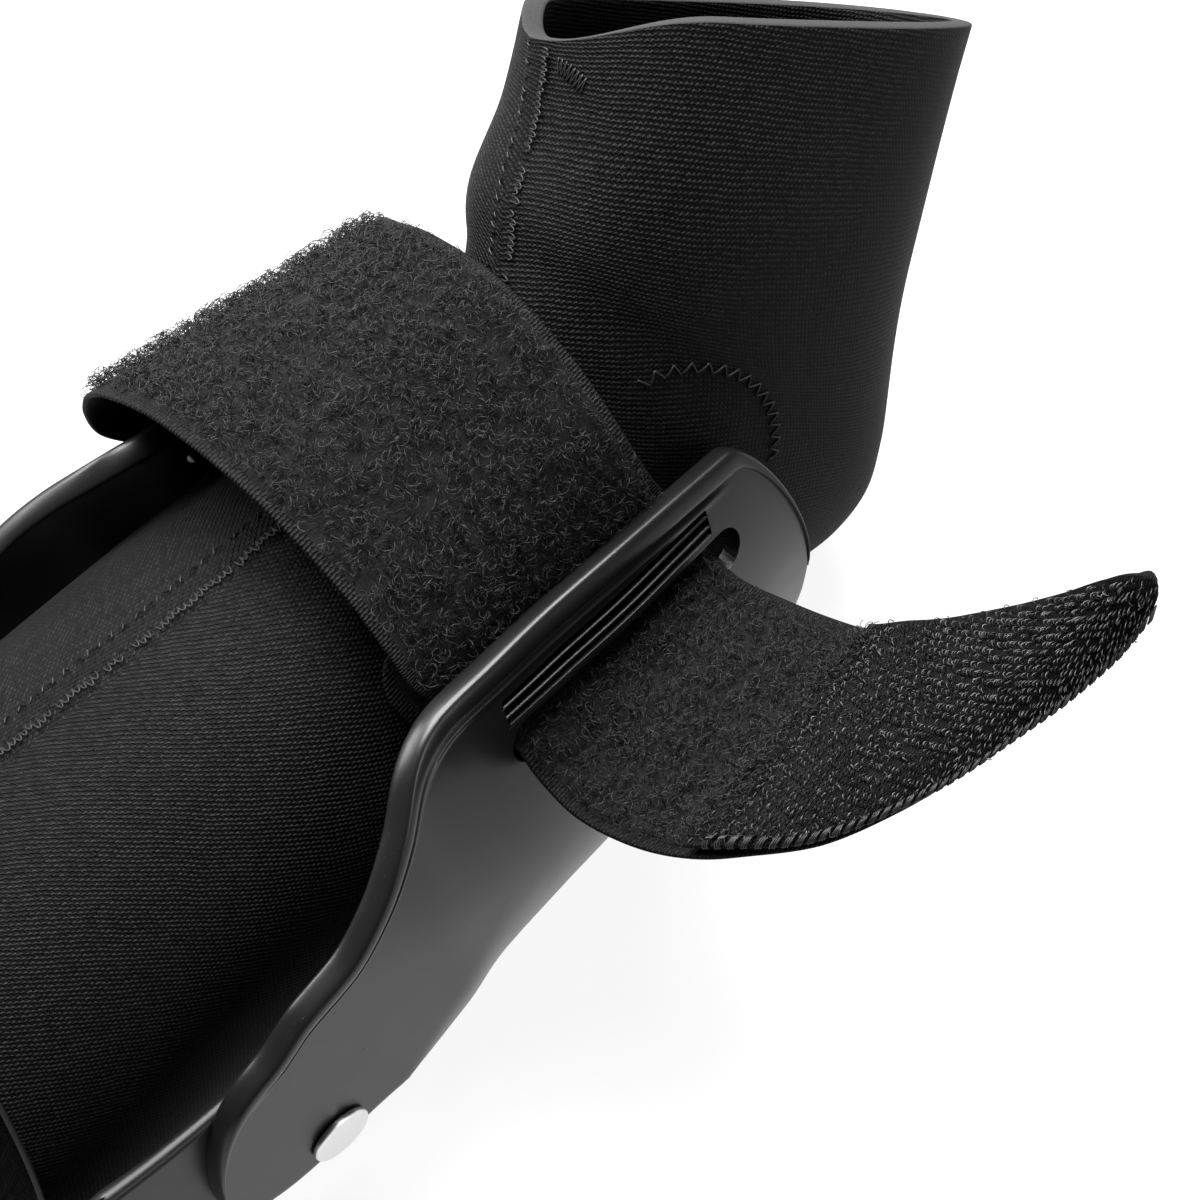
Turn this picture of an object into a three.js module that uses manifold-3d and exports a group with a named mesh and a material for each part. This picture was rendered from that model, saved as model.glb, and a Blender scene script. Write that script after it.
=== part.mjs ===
// Hinged ankle support wrap, lying on its back: X runs up the leg, Z points to the front of the leg.
import * as THREE from 'three';
import { mergeVertices } from 'three/addons/utils/BufferGeometryUtils.js';
import Module from 'manifold-3d';

const wasm = await Module();
wasm.setup();

// Driving dimensions in mm. The hinge axis runs along Y through x = 0, z = 0 until the part is set down.
const gap = 0.3;                 // clearance between pieces that touch
const halfSpan = 54;             // hinge axis centre to the outer face of a shell at its rivet
const shellWall = 3;
const beadWidth = 5;             // rounded bead that follows a shell's front edge
const beadRise = 1.1;
const neopreneWall = 4;
const strapThick = 2.2;
const wrapSlack = 0.4;           // extra room under the wrapped strap for the facets of the sleeve
const hookThick = 1.3;
const hookGap = 0.45;            // between the curved strap and the hook tape on it
const tongueInset = 0.6;         // hook tape ends this far inside the strap's edges
const rivetHeadRadius = 6.25;
const rivetHeadRise = 1.5;
const rivetShankRadius = 3;
const rivetFootRadius = 5.4;
const rivetFootThick = 1.3;
const rivetChamfer = 0.5;
const stirrupWall = 3;
const soleX = -87;               // inner face of the stirrup's sole plate
const soleWall = 3.6;
const stirrupCorner = 14;        // outer bend radius between an arm and the sole plate
const floorZ = -31;              // the surface that the brace lies on

// Sleeve: a row for each section, from the leg end to the foot end. front and back are the outer
// points on the seam side and the heel side, wide is the half width across, square the corner power
// and lean the distance by which the right side runs ahead of the left.
const sleeveRows = [
  { front: [-34, 10, 66.5], back: [-56, 0, -25], wide: 42.5, square: 2.2, lean: 0 },
  { front: [-2, 9, 70.5], back: [-12, 0, -27.5], wide: 43, square: 2.2, lean: 0 },
  { front: [36, 5.5, 74], back: [34, 0, -27.5], wide: 42.5, square: 2.2, lean: 0 },
  { front: [64, 6, 75], back: [68, 0, -27.5], wide: 40, square: 2.2, lean: 0 },
  { front: [92, 7, 78], back: [100, -2, -27.5], wide: 34, square: 2.2, lean: 0 },
  { front: [109, 8, 83], back: [131, -8, -27], wide: 28, square: 2.2, lean: 0 },
  { front: [117, 10, 88], back: [164.5, -14, -25], wide: 30, square: 2.3, lean: 0 },
  { front: [124, 14, 96], back: [178.5, -13, -5], wide: 32, square: 2.4, lean: 0 },
  { front: [136, 17, 106], back: [193, -7.5, 36], wide: 31, square: 2.4, lean: 2 },
  { front: [147, 23, 119.5], back: [220, -0.5, 71.5], wide: 26.5, square: 2.4, lean: 5 },
];

// The mouth dips towards the ankle round the seam: angles from the front, rows counted from the mouth.
const mouthDip = { depth: 6, middleDeg: -4, leftDeg: 34, rightDeg: 62, rows: 0.9 };

// Right shell: a row for each section. side is the widest half width, low and high bound its flat
// side, rim is the front edge, back the rear edge. The left shell mirrors it.
const shellRows = [
  { x: -24, side: 54, low: -20, high: 40, rimY: 54, rimZ: 48, backY: 54, backZ: -7 },
  { x: -5, side: 54, low: -20, high: 40, rimY: 54, rimZ: 46, backY: 54, backZ: -7 },
  { x: 5, side: 54, low: -20, high: 42, rimY: 54, rimZ: 52, backY: 54, backZ: -6.5 },
  { x: 17, side: 54, low: -6, high: 42, rimY: 53.9, rimZ: 56, backY: 53, backZ: -8 },
  { x: 27, side: 53.4, low: 2, high: 36, rimY: 52, rimZ: 62, backY: 49, backZ: -15 },
  { x: 36, side: 52.8, low: 8, high: 28, rimY: 48, rimZ: 67.5, backY: 43, backZ: -24 },
  { x: 45, side: 51.4, low: 15, high: 24, rimY: 42.4, rimZ: 73, backY: 39, backZ: -29 },
  { x: 53, side: 50.6, low: 19, high: 21, rimY: 39.6, rimZ: 74.5, backY: 38, backZ: -31 },
  { x: 66, side: 50, low: 20, high: 20, rimY: 38.2, rimZ: 72.8, backY: 37, backZ: -31 },
  { x: 80, side: 49.4, low: 20, high: 20, rimY: 36.4, rimZ: 70, backY: 36, backZ: -31 },
  { x: 95, side: 48, low: 20, high: 20, rimY: 35.3, rimZ: 67, backY: 35, backZ: -30.5 },
  { x: 111, side: 45.4, low: 20, high: 20, rimY: 34, rimZ: 63.4, backY: 34, backZ: -29 },
  { x: 126, side: 43, low: 20, high: 20, rimY: 32.8, rimZ: 60, backY: 33, backZ: -27 },
  { x: 140, side: 41.3, low: 20, high: 20, rimY: 31.6, rimZ: 57, backY: 33, backZ: -25 },
];
const shellStart = -24;
const shellEnd = 140;
const lowerRound = { length: 21, z: 6 };    // rounded end round the rivet
const upperRound = { length: 12, z: 10 };   // rounded end above the strap slot
const slits = { startX: 64, endX: 118, belowStart: 8.2, belowEnd: 6.6, pitch: 2.1, height: 1.1, count: 3 };
const slot = { startX: 60.8, endX: 123, belowStart: 19, belowEnd: 16.9, height: 9 };

// Strap: the wrapped stretch follows the sleeve. Angles run from the front of the leg, positive to
// the right side, and back lies at 180. A row for each section of the free stretch after it.
const wrap = { fromDeg: 37, toDeg: 297, nearFrom: 0.278, nearTo: 0.322, farFrom: 0.5, farTo: 0.535, rows: 18 };
const freeRows = [
  { near: [62.5, 43.5, 53.8], far: [117.5, 38.6, 44.6] },
  { near: [57.5, 50.5, 55.5], far: [118, 45, 48.5] },
  { near: [52.5, 54.8, 61], far: [118.5, 49.5, 56] },
  { near: [51.5, 54.8, 70], far: [118.5, 49, 65] },
  { near: [52, 50, 80], far: [117, 44, 72.5] },
  { near: [53, 42, 86.5], far: [115.5, 36, 79.5] },
  { near: [54.5, 27, 92], far: [114.5, 24, 87.5] },
  { near: [55.5, 5, 92], far: [113.5, 5, 93] },
  { near: [55.5, -15, 85], far: [113, -12, 87] },
  { near: [54.5, -27, 78.5], far: [112.5, -22.5, 78] },
  { near: [54.5, -33, 71.5], far: [113.5, -28.3, 65.5] },
  { near: [58, -36.8, 64], far: [115.5, -31.4, 56.5] },
  { near: [62, -40, 57], far: [117, -34.6, 48.8] },
  { near: [63, -45, 53.6], far: [117, -40, 44.8] },
  { near: [62.5, -51.5, 49.6], far: [116.5, -47, 45.5] },
  { near: [62.5, -60, 48], far: [116, -57, 52] },
  { near: [64.5, -71, 51], far: [117, -68.5, 57.5] },
  { near: [67.5, -81.5, 58], far: [118.5, -78, 63] },
  { near: [73, -89.5, 62], far: [122, -84.5, 68] },
  { near: [83, -98, 63], far: [127, -92, 73] },
  { near: [96, -104.5, 66], far: [131, -100, 82] },
  { near: [109, -109.5, 71.5], far: [134, -106.5, 91] },
  { near: [121, -114, 80], far: [136.5, -111, 98.5] },
  { near: [130, -117, 88.5], far: [138.5, -114, 103] },
  { near: [136, -118.6, 96], far: [140, -116.6, 103.5] },
];
const tongueFrom = 17;           // free row where the hook tape starts
const strapColumns = 4;

// Side view of the stirrup's arms as x and z, from the heel's back corner round the hinge eye.
const armPoints = { heelBack: [soleX - soleWall, floorZ], waistBack: [-36, floorZ], eyeZ: 5, eyeRadius: 14,
  eyeFront: [1, 38], frontEdge: [-37, 43], heelFront: [soleX - soleWall, 46] };
const armCurve = { eyeDrop: 6, edgeDrop: 3 };    // how far the curved front edges of an arm dip

const lerp = (a, b, t) => a + (b - a) * t;

// Catmull-Rom value through rows at a fractional row number.
function spline(values, at) {
  const last = values.length - 1;
  const i = Math.min(Math.floor(at), last - 1);
  const t = at - i;
  const [p, q, r, s] = [Math.max(i - 1, 0), i, i + 1, Math.min(i + 2, last)].map((k) => values[k]);
  return 0.5 * (2 * q + (r - p) * t + (2 * p - 5 * q + 4 * r - s) * t * t
    + (3 * q - p - 3 * r + s) * t * t * t);
}

function splinePoint(points, at) {
  return new THREE.Vector3(...[0, 1, 2].map((axis) => spline(points.map((p) => p[axis]), at)));
}

// Value of a column of the shell table at x, straight between rows in x and smoothed by the spline.
function rowValue(rows, key, x) {
  let i = 0;
  while (i < rows.length - 2 && rows[i + 1].x < x) i += 1;
  const t = THREE.MathUtils.clamp((x - rows[i].x) / (rows[i + 1].x - rows[i].x), 0, 1);
  return spline(rows.map((row) => row[key]), i + t);
}

// Closed solid from two equal grids of points: the outside faces away from the inside.
function gridSolid(outside, inside, closedAcross = false) {
  const rows = outside.length;
  const columns = outside[0].length;
  const positions = [...outside.flat(), ...inside.flat()].flatMap((p) => [p.x, p.y, p.z]);
  const id = (side, row, column) => side * rows * columns + row * columns + (column % columns);
  const index = [];
  const quad = (a, b, c, d) => index.push(a, b, c, a, c, d);
  const steps = closedAcross ? columns : columns - 1;
  for (let r = 0; r < rows - 1; r += 1) {
    for (let c = 0; c < steps; c += 1) {
      quad(id(0, r, c), id(0, r + 1, c), id(0, r + 1, c + 1), id(0, r, c + 1));
      quad(id(1, r, c), id(1, r, c + 1), id(1, r + 1, c + 1), id(1, r + 1, c));
    }
    if (!closedAcross) {
      quad(id(0, r, 0), id(1, r, 0), id(1, r + 1, 0), id(0, r + 1, 0));
      quad(id(0, r, steps), id(0, r + 1, steps), id(1, r + 1, steps), id(1, r, steps));
    }
  }
  for (let c = 0; c < steps; c += 1) {
    quad(id(0, 0, c), id(0, 0, c + 1), id(1, 0, c + 1), id(1, 0, c));
    quad(id(0, rows - 1, c), id(1, rows - 1, c), id(1, rows - 1, c + 1), id(0, rows - 1, c + 1));
  }
  const geometry = new THREE.BufferGeometry();
  geometry.setAttribute('position', new THREE.Float32BufferAttribute(positions, 3));
  geometry.setIndex(index);
  return facingOut(geometry);
}

// Turns every triangle round if the enclosed volume comes out negative.
function facingOut(geometry) {
  const p = geometry.getAttribute('position');
  const index = geometry.getIndex().array;
  const [a, b, c] = [new THREE.Vector3(), new THREE.Vector3(), new THREE.Vector3()];
  let volume = 0;
  for (let i = 0; i < index.length; i += 3) {
    a.fromBufferAttribute(p, index[i]);
    b.fromBufferAttribute(p, index[i + 1]);
    c.fromBufferAttribute(p, index[i + 2]);
    volume += a.dot(b.cross(c));
  }
  if (volume < 0) {
    geometry.setIndex(Array.from(index).reverse());
  }
  return geometry;
}

function toManifold(source) {
  const bare = source.clone();
  for (const name of Object.keys(bare.attributes)) {
    if (name !== 'position') bare.deleteAttribute(name);
  }
  const merged = mergeVertices(bare, 1e-4);
  return new wasm.Manifold(new wasm.Mesh({
    numProp: 3,
    vertProperties: new Float32Array(merged.getAttribute('position').array),
    triVerts: new Uint32Array(merged.getIndex().array),
  }));
}

function fromManifold(solid) {
  const mesh = solid.getMesh();
  const geometry = new THREE.BufferGeometry();
  geometry.setAttribute('position', new THREE.Float32BufferAttribute(mesh.vertProperties, 3));
  geometry.setIndex(Array.from(mesh.triVerts));
  return geometry;
}

// How much of the dip applies at a row number counted back from the mouth and an angle.
function dipShare(fromMouth, degrees) {
  const turn = degrees > 180 ? degrees - 360 : degrees;
  const reach = turn < mouthDip.middleDeg ? mouthDip.leftDeg : mouthDip.rightDeg;
  const aside = THREE.MathUtils.clamp((turn - mouthDip.middleDeg) / reach, -1, 1);
  const near = THREE.MathUtils.clamp(1 + fromMouth / mouthDip.rows, 0, 1);
  return Math.cos((aside * Math.PI) / 2) ** 2 * near;
}

// Outer point of the sleeve at a fractional row and an angle from the front, pushed out by offset.
function sleevePoint(at, degrees, offset) {
  const front = splinePoint(sleeveRows.map((row) => row.front), at);
  const back = splinePoint(sleeveRows.map((row) => row.back), at);
  const wide = spline(sleeveRows.map((row) => row.wide), at) + offset;
  const power = 2 / spline(sleeveRows.map((row) => row.square), at);
  const middle = front.clone().add(back).multiplyScalar(0.5);
  const deep = front.clone().sub(middle);
  const step = 0.2;
  const last = sleeveRows.length - 1;
  const centre = (k) => splinePoint(sleeveRows.map((row) => row.front), k)
    .add(splinePoint(sleeveRows.map((row) => row.back), k));
  const along = centre(Math.min(at + step, last)).sub(centre(Math.max(at - step, 0)));
  along.normalize();
  const across = deep.clone().cross(along).normalize();
  const depth = deep.length() + offset;
  deep.normalize();
  const angle = THREE.MathUtils.degToRad(degrees);
  const [c, s] = [Math.cos(angle), Math.sin(angle)];
  const sideways = Math.sign(s) * Math.abs(s) ** power;
  return middle
    .addScaledVector(deep, depth * Math.sign(c) * Math.abs(c) ** power)
    .addScaledVector(across, -wide * sideways)
    .addScaledVector(along, spline(sleeveRows.map((row) => row.lean), at) * sideways)
    .addScaledVector(along, -mouthDip.depth * dipShare(at - last, degrees));
}

function sleeveGeometry() {
  const rows = 23;
  const around = 28;
  const ring = (r, offset) => Array.from({ length: around }, (_, k) =>
    sleevePoint((r / (rows - 1)) * (sleeveRows.length - 1), (360 * k) / around, offset));
  const grid = (offset) => Array.from({ length: rows }, (_, r) => ring(r, offset));
  return gridSolid(grid(0), grid(-neopreneWall), true);
}

// Edges of a shell at x: the straight run of the rim and the back, closed by a round at each end.
function shellEdges(x) {
  const rim = rowValue(shellRows, 'rimZ', x);
  const back = rowValue(shellRows, 'backZ', x);
  const round = (z, past, end) => lerp(end.z, z, Math.sqrt(Math.max(1 - past * past, 0.0004)));
  const below = Math.max((shellStart + lowerRound.length - x) / lowerRound.length, 0);
  const above = Math.max((x - shellEnd + upperRound.length) / upperRound.length, 0);
  const [past, end] = below > 0 ? [below, lowerRound] : [above, upperRound];
  return { rim: round(rim, past, end), back: round(back, past, end) };
}

// Outer half width of a shell at x and height z.
function shellSide(x, z) {
  const value = (key) => rowValue(shellRows, key, x);
  const side = value('side');
  const bend = (from, edgeZ, edgeY) => {
    const t = (z - from) / (edgeZ - from);
    return Math.sqrt(side * side - (side * side - edgeY * edgeY) * t * t);
  };
  if (z > value('high')) return bend(value('high'), value('rimZ'), value('rimY'));
  if (z < value('low')) return bend(value('low'), value('backZ'), value('backY'));
  return side;
}

function shellOutward(x, z) {
  const d = 0.5;
  const slopeX = (shellSide(x + d, z) - shellSide(x - d, z)) / (2 * d);
  const slopeZ = (shellSide(x, z + d) - shellSide(x, z - d)) / (2 * d);
  return new THREE.Vector3(-slopeX, 1, -slopeZ).normalize();
}

// Stadium-shaped cutter through a shell's wall, its centre line set below the rim at its two ends.
function slotCutter({ startX, endX, belowStart, belowEnd, height }) {
  const startZ = rowValue(shellRows, 'rimZ', startX) - belowStart;
  const endZ = rowValue(shellRows, 'rimZ', endX) - belowEnd;
  const length = Math.hypot(endX - startX, endZ - startZ);
  const radius = height / 2;
  const outline = new THREE.Shape();
  outline.moveTo(radius, -radius);
  outline.lineTo(length - radius, -radius);
  outline.absarc(length - radius, 0, radius, -Math.PI / 2, Math.PI / 2, false);
  outline.lineTo(radius, radius);
  outline.absarc(radius, 0, radius, Math.PI / 2, (3 * Math.PI) / 2, false);
  const from = halfSpan + 8;
  const depth = 40;
  const cutter = new THREE.ExtrudeGeometry(outline, { depth, bevelEnabled: false, curveSegments: 3 });
  cutter.rotateX(Math.PI / 2);
  cutter.rotateY(-Math.atan2(endZ - startZ, endX - startX));
  cutter.translate(startX, from, startZ);
  return toManifold(cutter);
}

// Hole for a rivet's shank through the shell and the stirrup's arm, on the left where side is 1.
function pinHole(side) {
  const [radius, length, facets] = [rivetShankRadius + gap, 20, 20];
  const hole = new THREE.CylinderGeometry(radius, radius, length, facets);
  hole.translate(0, side * halfSpan, 0);
  return toManifold(hole);
}

// The left shell, on +Y. The right one is its mirror image.
function shellGeometry() {
  const stations = 31;
  const columns = 14;
  const edgeColumns = [0, 0.022, 0.05, 0.085];    // share of the width, crowded at both edges
  const wide = edgeColumns.length - 1;
  const endCrowding = 0.9;
  const share = (c) => {
    if (c < edgeColumns.length) return edgeColumns[c];
    if (c > columns - 1 - edgeColumns.length) return 1 - edgeColumns[columns - 1 - c];
    return lerp(edgeColumns[wide], 1 - edgeColumns[wide], (c - wide) / (columns - 1 - 2 * wide));
  };
  const station = (i) => {
    const t = i / (stations - 1);
    const eased = t - (Math.sin(2 * Math.PI * t) / (2 * Math.PI)) * endCrowding;
    return lerp(shellStart, shellEnd, eased);
  };
  const bead = (distance) => {
    const t = THREE.MathUtils.clamp(distance / beadWidth, 0, 1);
    return beadRise * Math.sqrt(1 - (2 * t - 1) ** 2) * (t < 1 ? 1 : 0);
  };
  const outside = [];
  const inside = [];
  for (let i = 0; i < stations; i += 1) {
    const x = station(i);
    const { rim, back } = shellEdges(x);
    outside.push([]);
    inside.push([]);
    for (let c = 0; c < columns; c += 1) {
      const z = lerp(back, rim, share(c));
      const base = new THREE.Vector3(x, shellSide(x, z), z);
      const out = shellOutward(x, z);
      outside[i].push(base.clone().addScaledVector(out, bead(rim - z)));
      inside[i].push(base.clone().addScaledVector(out, -shellWall));
    }
  }
  let shell = toManifold(gridSolid(outside, inside)).subtract(pinHole(1));
  for (let k = 0; k < slits.count; k += 1) {
    const down = k * slits.pitch;
    const one = { ...slits, belowStart: slits.belowStart + down, belowEnd: slits.belowEnd + down };
    shell = shell.subtract(slotCutter(one));
  }
  return fromManifold(shell.subtract(slotCutter(slot)));
}

function mirrored(source) {
  const copy = source.clone().scale(1, -1, 1);
  return facingOut(copy);
}

function rivetGeometry() {
  const foot = halfSpan - shellWall - stirrupWall - 2 * gap;
  const head = halfSpan + gap;
  const profile = [new THREE.Vector2(0, foot - rivetFootThick)];
  profile.push(new THREE.Vector2(rivetFootRadius - rivetChamfer, foot - rivetFootThick));
  profile.push(new THREE.Vector2(rivetFootRadius, foot - rivetFootThick + rivetChamfer));
  profile.push(new THREE.Vector2(rivetFootRadius, foot));
  profile.push(new THREE.Vector2(rivetShankRadius, foot));
  profile.push(new THREE.Vector2(rivetShankRadius, head));
  profile.push(new THREE.Vector2(rivetHeadRadius, head));
  const steps = 6;
  for (let k = 0; k < steps; k += 1) {
    const t = (Math.PI / 2) * (k / steps);
    const rise = rivetChamfer + (rivetHeadRise - rivetChamfer) * Math.sin(t);
    profile.push(new THREE.Vector2(rivetHeadRadius * Math.cos(t), head + rise));
  }
  profile.push(new THREE.Vector2(0, head + rivetHeadRise));
  return new THREE.LatheGeometry(profile, 18);
}

function stirrupGeometry() {
  const outer = halfSpan - shellWall - gap;
  const inner = outer - stirrupWall;
  const armReach = 40;
  const outerHeel = soleX - soleWall;
  const innerCorner = stirrupCorner - stirrupWall;
  const plan = new THREE.Shape();
  plan.moveTo(armReach, -outer);
  plan.lineTo(outerHeel + stirrupCorner, -outer);
  plan.absarc(outerHeel + stirrupCorner, -outer + stirrupCorner, stirrupCorner, -Math.PI / 2, -Math.PI, true);
  plan.lineTo(outerHeel, outer - stirrupCorner);
  plan.absarc(outerHeel + stirrupCorner, outer - stirrupCorner, stirrupCorner, Math.PI, Math.PI / 2, true);
  plan.lineTo(armReach, outer);
  plan.lineTo(armReach, inner);
  plan.lineTo(soleX + innerCorner, inner);
  plan.absarc(soleX + innerCorner, inner - innerCorner, innerCorner, Math.PI / 2, Math.PI, false);
  plan.lineTo(soleX, -inner + innerCorner);
  plan.absarc(soleX + innerCorner, -inner + innerCorner, innerCorner, Math.PI, (3 * Math.PI) / 2, false);
  plan.lineTo(armReach, -inner);
  const height = 2 * halfSpan;
  const band = new THREE.ExtrudeGeometry(plan, { depth: height, bevelEnabled: false, curveSegments: 7 });
  band.translate(0, 0, -height / 2);

  const side = new THREE.Shape();
  const { heelBack, waistBack, eyeZ, eyeRadius, eyeFront, frontEdge, heelFront } = armPoints;
  side.moveTo(...heelBack);
  side.lineTo(...waistBack);
  side.quadraticCurveTo(waistBack[0] / 2, eyeZ - eyeRadius, 0, eyeZ - eyeRadius);
  side.absarc(0, eyeZ, eyeRadius, -Math.PI / 2, 0, false);
  side.quadraticCurveTo(eyeRadius, eyeFront[1] - armCurve.eyeDrop, ...eyeFront);
  side.quadraticCurveTo(frontEdge[0] / 3, eyeFront[1] - armCurve.edgeDrop, ...frontEdge);
  side.lineTo(...heelFront);
  const mask = new THREE.ExtrudeGeometry(side, { depth: 2 * halfSpan, bevelEnabled: false, curveSegments: 10 });
  mask.rotateX(Math.PI / 2);
  mask.translate(0, halfSpan, 0);
  const holes = pinHole(1).add(pinHole(-1));
  return fromManifold(toManifold(band).intersect(toManifold(mask)).subtract(holes));
}

// Middle surface of the strap as rows of points across its width.
function strapMiddle() {
  const share = (c) => c / strapColumns;
  const acrossRow = (make) => Array.from({ length: strapColumns + 1 }, (_, c) => make(share(c)));
  const rows = [];
  const last = sleeveRows.length - 1;
  const lift = gap + strapThick / 2 + wrapSlack;
  for (let r = 0; r < wrap.rows; r += 1) {
    const part = r / (wrap.rows - 1);
    const degrees = lerp(wrap.fromDeg, wrap.toDeg, part);
    const [near, far] = [lerp(wrap.nearFrom, wrap.nearTo, part), lerp(wrap.farFrom, wrap.farTo, part)];
    rows.push(acrossRow((t) => sleevePoint(lerp(near, far, t) * last, degrees, lift)));
  }
  for (const row of freeRows) {
    const [near, far] = [new THREE.Vector3(...row.near), new THREE.Vector3(...row.far)];
    rows.push(acrossRow((t) => near.clone().lerp(far, t)));
  }
  return rows;
}

// Rows of the strap made finer along its length, from one row number to another.
function refine(rows, from, to, perRow) {
  const fine = [];
  const columns = rows[0].map((_, c) => rows.map((row) => row[c].toArray()));
  const count = Math.round((to - from) * perRow);
  for (let k = 0; k <= count; k += 1) {
    fine.push(columns.map((column) => splinePoint(column, lerp(from, to, k / count))));
  }
  return fine;
}

// Sheet of even thickness whose lower face lies at the offset from the middle surface.
function sheetGeometry(rows, offset, thick, inset = 0) {
  const normalAt = (r, c) => {
    const down = rows[Math.min(r + 1, rows.length - 1)][c].clone().sub(rows[Math.max(r - 1, 0)][c]);
    const across = rows[r][rows[r].length - 1].clone().sub(rows[r][0]);
    return down.cross(across).normalize();
  };
  const insetPoint = (row, c) => {
    const across = row[row.length - 1].clone().sub(row[0]);
    const share = inset / across.length();
    const t = lerp(share, 1 - share, c / (row.length - 1));
    return row[0].clone().addScaledVector(across, t);
  };
  const face = (rise) => rows.map((row, r) => row.map((point, c) =>
    (inset > 0 ? insetPoint(row, c) : point.clone()).addScaledVector(normalAt(r, c), rise)));
  return gridSolid(face(offset + thick), face(offset));
}

const black = (roughness) => new THREE.MeshStandardMaterial({ color: 0x17171a, roughness, metalness: 0 });
const neoprene = black(0.9);
const plastic = black(0.32);
const webbing = black(0.95);
const hookTape = black(0.7);
const steel = new THREE.MeshStandardMaterial({ color: 0xc9cacc, roughness: 0.22, metalness: 1 });

const brace = new THREE.Group();
function addPiece(name, geometry, material) {
  const mesh = new THREE.Mesh(geometry, material);
  mesh.name = name;
  brace.add(mesh);
}

const strapRows = strapMiddle();
const lastStrapRow = strapRows.length - 1;
const tongueRow = wrap.rows + tongueFrom;
const leftShell = shellGeometry();
const leftRivet = rivetGeometry();

addPiece('sleeve', sleeveGeometry(), neoprene);
addPiece('shell_left', leftShell, plastic);
addPiece('shell_right', mirrored(leftShell), plastic);
addPiece('rivet_left', leftRivet, steel);
addPiece('rivet_right', leftRivet.clone().rotateX(Math.PI), steel);
addPiece('stirrup', stirrupGeometry(), plastic);
addPiece('strap', sheetGeometry(refine(strapRows, 0, lastStrapRow, 2), -strapThick / 2, strapThick), webbing);
addPiece('hook_tab', sheetGeometry(refine(strapRows, tongueRow, lastStrapRow, 2), strapThick / 2 + hookGap,
  hookThick, tongueInset), hookTape);

// Sets the part down with its origin under the middle of its box.
const box = new THREE.Box3().setFromObject(brace);
const middle = box.getCenter(new THREE.Vector3());
brace.position.set(-middle.x, -middle.y, -box.min.z);

export default brace;
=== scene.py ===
import math

import bmesh
import bpy
import numpy as np
from mathutils import Matrix, Vector
from mathutils.bvhtree import BVHTree


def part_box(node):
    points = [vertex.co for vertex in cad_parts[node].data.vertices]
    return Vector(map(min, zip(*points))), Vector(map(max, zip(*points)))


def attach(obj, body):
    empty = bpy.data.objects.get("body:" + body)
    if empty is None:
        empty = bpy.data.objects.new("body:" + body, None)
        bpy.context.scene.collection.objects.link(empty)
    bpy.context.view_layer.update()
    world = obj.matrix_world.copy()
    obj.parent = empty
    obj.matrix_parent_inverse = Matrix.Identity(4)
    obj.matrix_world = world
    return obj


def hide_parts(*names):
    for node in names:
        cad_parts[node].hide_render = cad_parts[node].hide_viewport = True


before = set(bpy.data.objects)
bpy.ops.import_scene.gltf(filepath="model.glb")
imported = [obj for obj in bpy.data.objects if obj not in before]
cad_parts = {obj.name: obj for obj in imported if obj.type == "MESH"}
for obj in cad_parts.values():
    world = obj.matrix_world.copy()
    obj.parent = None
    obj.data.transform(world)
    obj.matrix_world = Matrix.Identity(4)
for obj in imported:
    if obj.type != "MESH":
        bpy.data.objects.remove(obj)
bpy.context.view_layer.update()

mm = 0.001
rng = np.random.default_rng(41)

# The CAD part lies with its hinge axis along Y through this point, and the tables below count from it.
rightLow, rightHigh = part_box("rivet_right")
_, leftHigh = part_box("rivet_left")
hingePoint = np.array([(rightLow.x + rightHigh.x) / 2, (rightLow.y + leftHigh.y) / 2, (rightLow.z + rightHigh.z) / 2])


def toPart(points):  # millimetres from the hinge to metres in the part's frame
    return np.asarray(points, float) * mm + hingePoint


def lerp(a, b, t):
    return a + (b - a) * t


def unit(vectors):
    return vectors / np.maximum(np.linalg.norm(vectors, axis=-1, keepdims=True), 1e-12)


def lengthAlong(points):  # distance from the first point to each point of a line
    return np.concatenate([[0], np.cumsum(np.linalg.norm(np.diff(points, axis=0), axis=1))])


def spline(values, at):  # Catmull-Rom through rows of numbers or points at fractional row numbers
    values = np.asarray(values, float)
    at = np.atleast_1d(np.asarray(at, float))
    last = len(values) - 1
    i = np.clip(np.floor(at).astype(int), 0, last - 1)
    t = at - i
    if values.ndim > 1:
        t = t[(...,) + (None,) * (values.ndim - 1)]
    p, q = values[np.maximum(i - 1, 0)], values[i]
    r, s = values[i + 1], values[np.minimum(i + 2, last)]
    return 0.5 * (2 * q + (r - p) * t + (2 * p - 5 * q + 4 * r - s) * t * t + (3 * q - p - 3 * r + s) * t ** 3)


def meshObject(name, vertices, faces, materials, smooth=True):
    mesh = bpy.data.meshes.new(name)
    mesh.from_pydata([tuple(v) for v in np.asarray(vertices).tolist()], [], faces)
    mesh.update()
    piece = bpy.data.objects.new(name, mesh)
    bpy.context.scene.collection.objects.link(piece)
    for material in materials:
        mesh.materials.append(material)
    if smooth:
        mesh.polygons.foreach_set("use_smooth", [True] * len(mesh.polygons))
    return piece


def pointVectors(piece, name, values):  # a vector on each point, which the materials read
    layer = piece.data.attributes.new(name, "FLOAT_VECTOR", "POINT")
    layer.data.foreach_set("vector", np.asarray(values, float).reshape(-1))


def facesOut(piece):
    work = bmesh.new()
    work.from_mesh(piece.data)
    bmesh.ops.recalc_face_normals(work, faces=work.faces)
    work.to_mesh(piece.data)
    work.free()


def applyModifiers(piece):
    graph = bpy.context.evaluated_depsgraph_get()
    old = piece.data
    piece.data = bpy.data.meshes.new_from_object(piece.evaluated_get(graph), depsgraph=graph)
    piece.modifiers.clear()
    bpy.data.meshes.remove(old)


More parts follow.
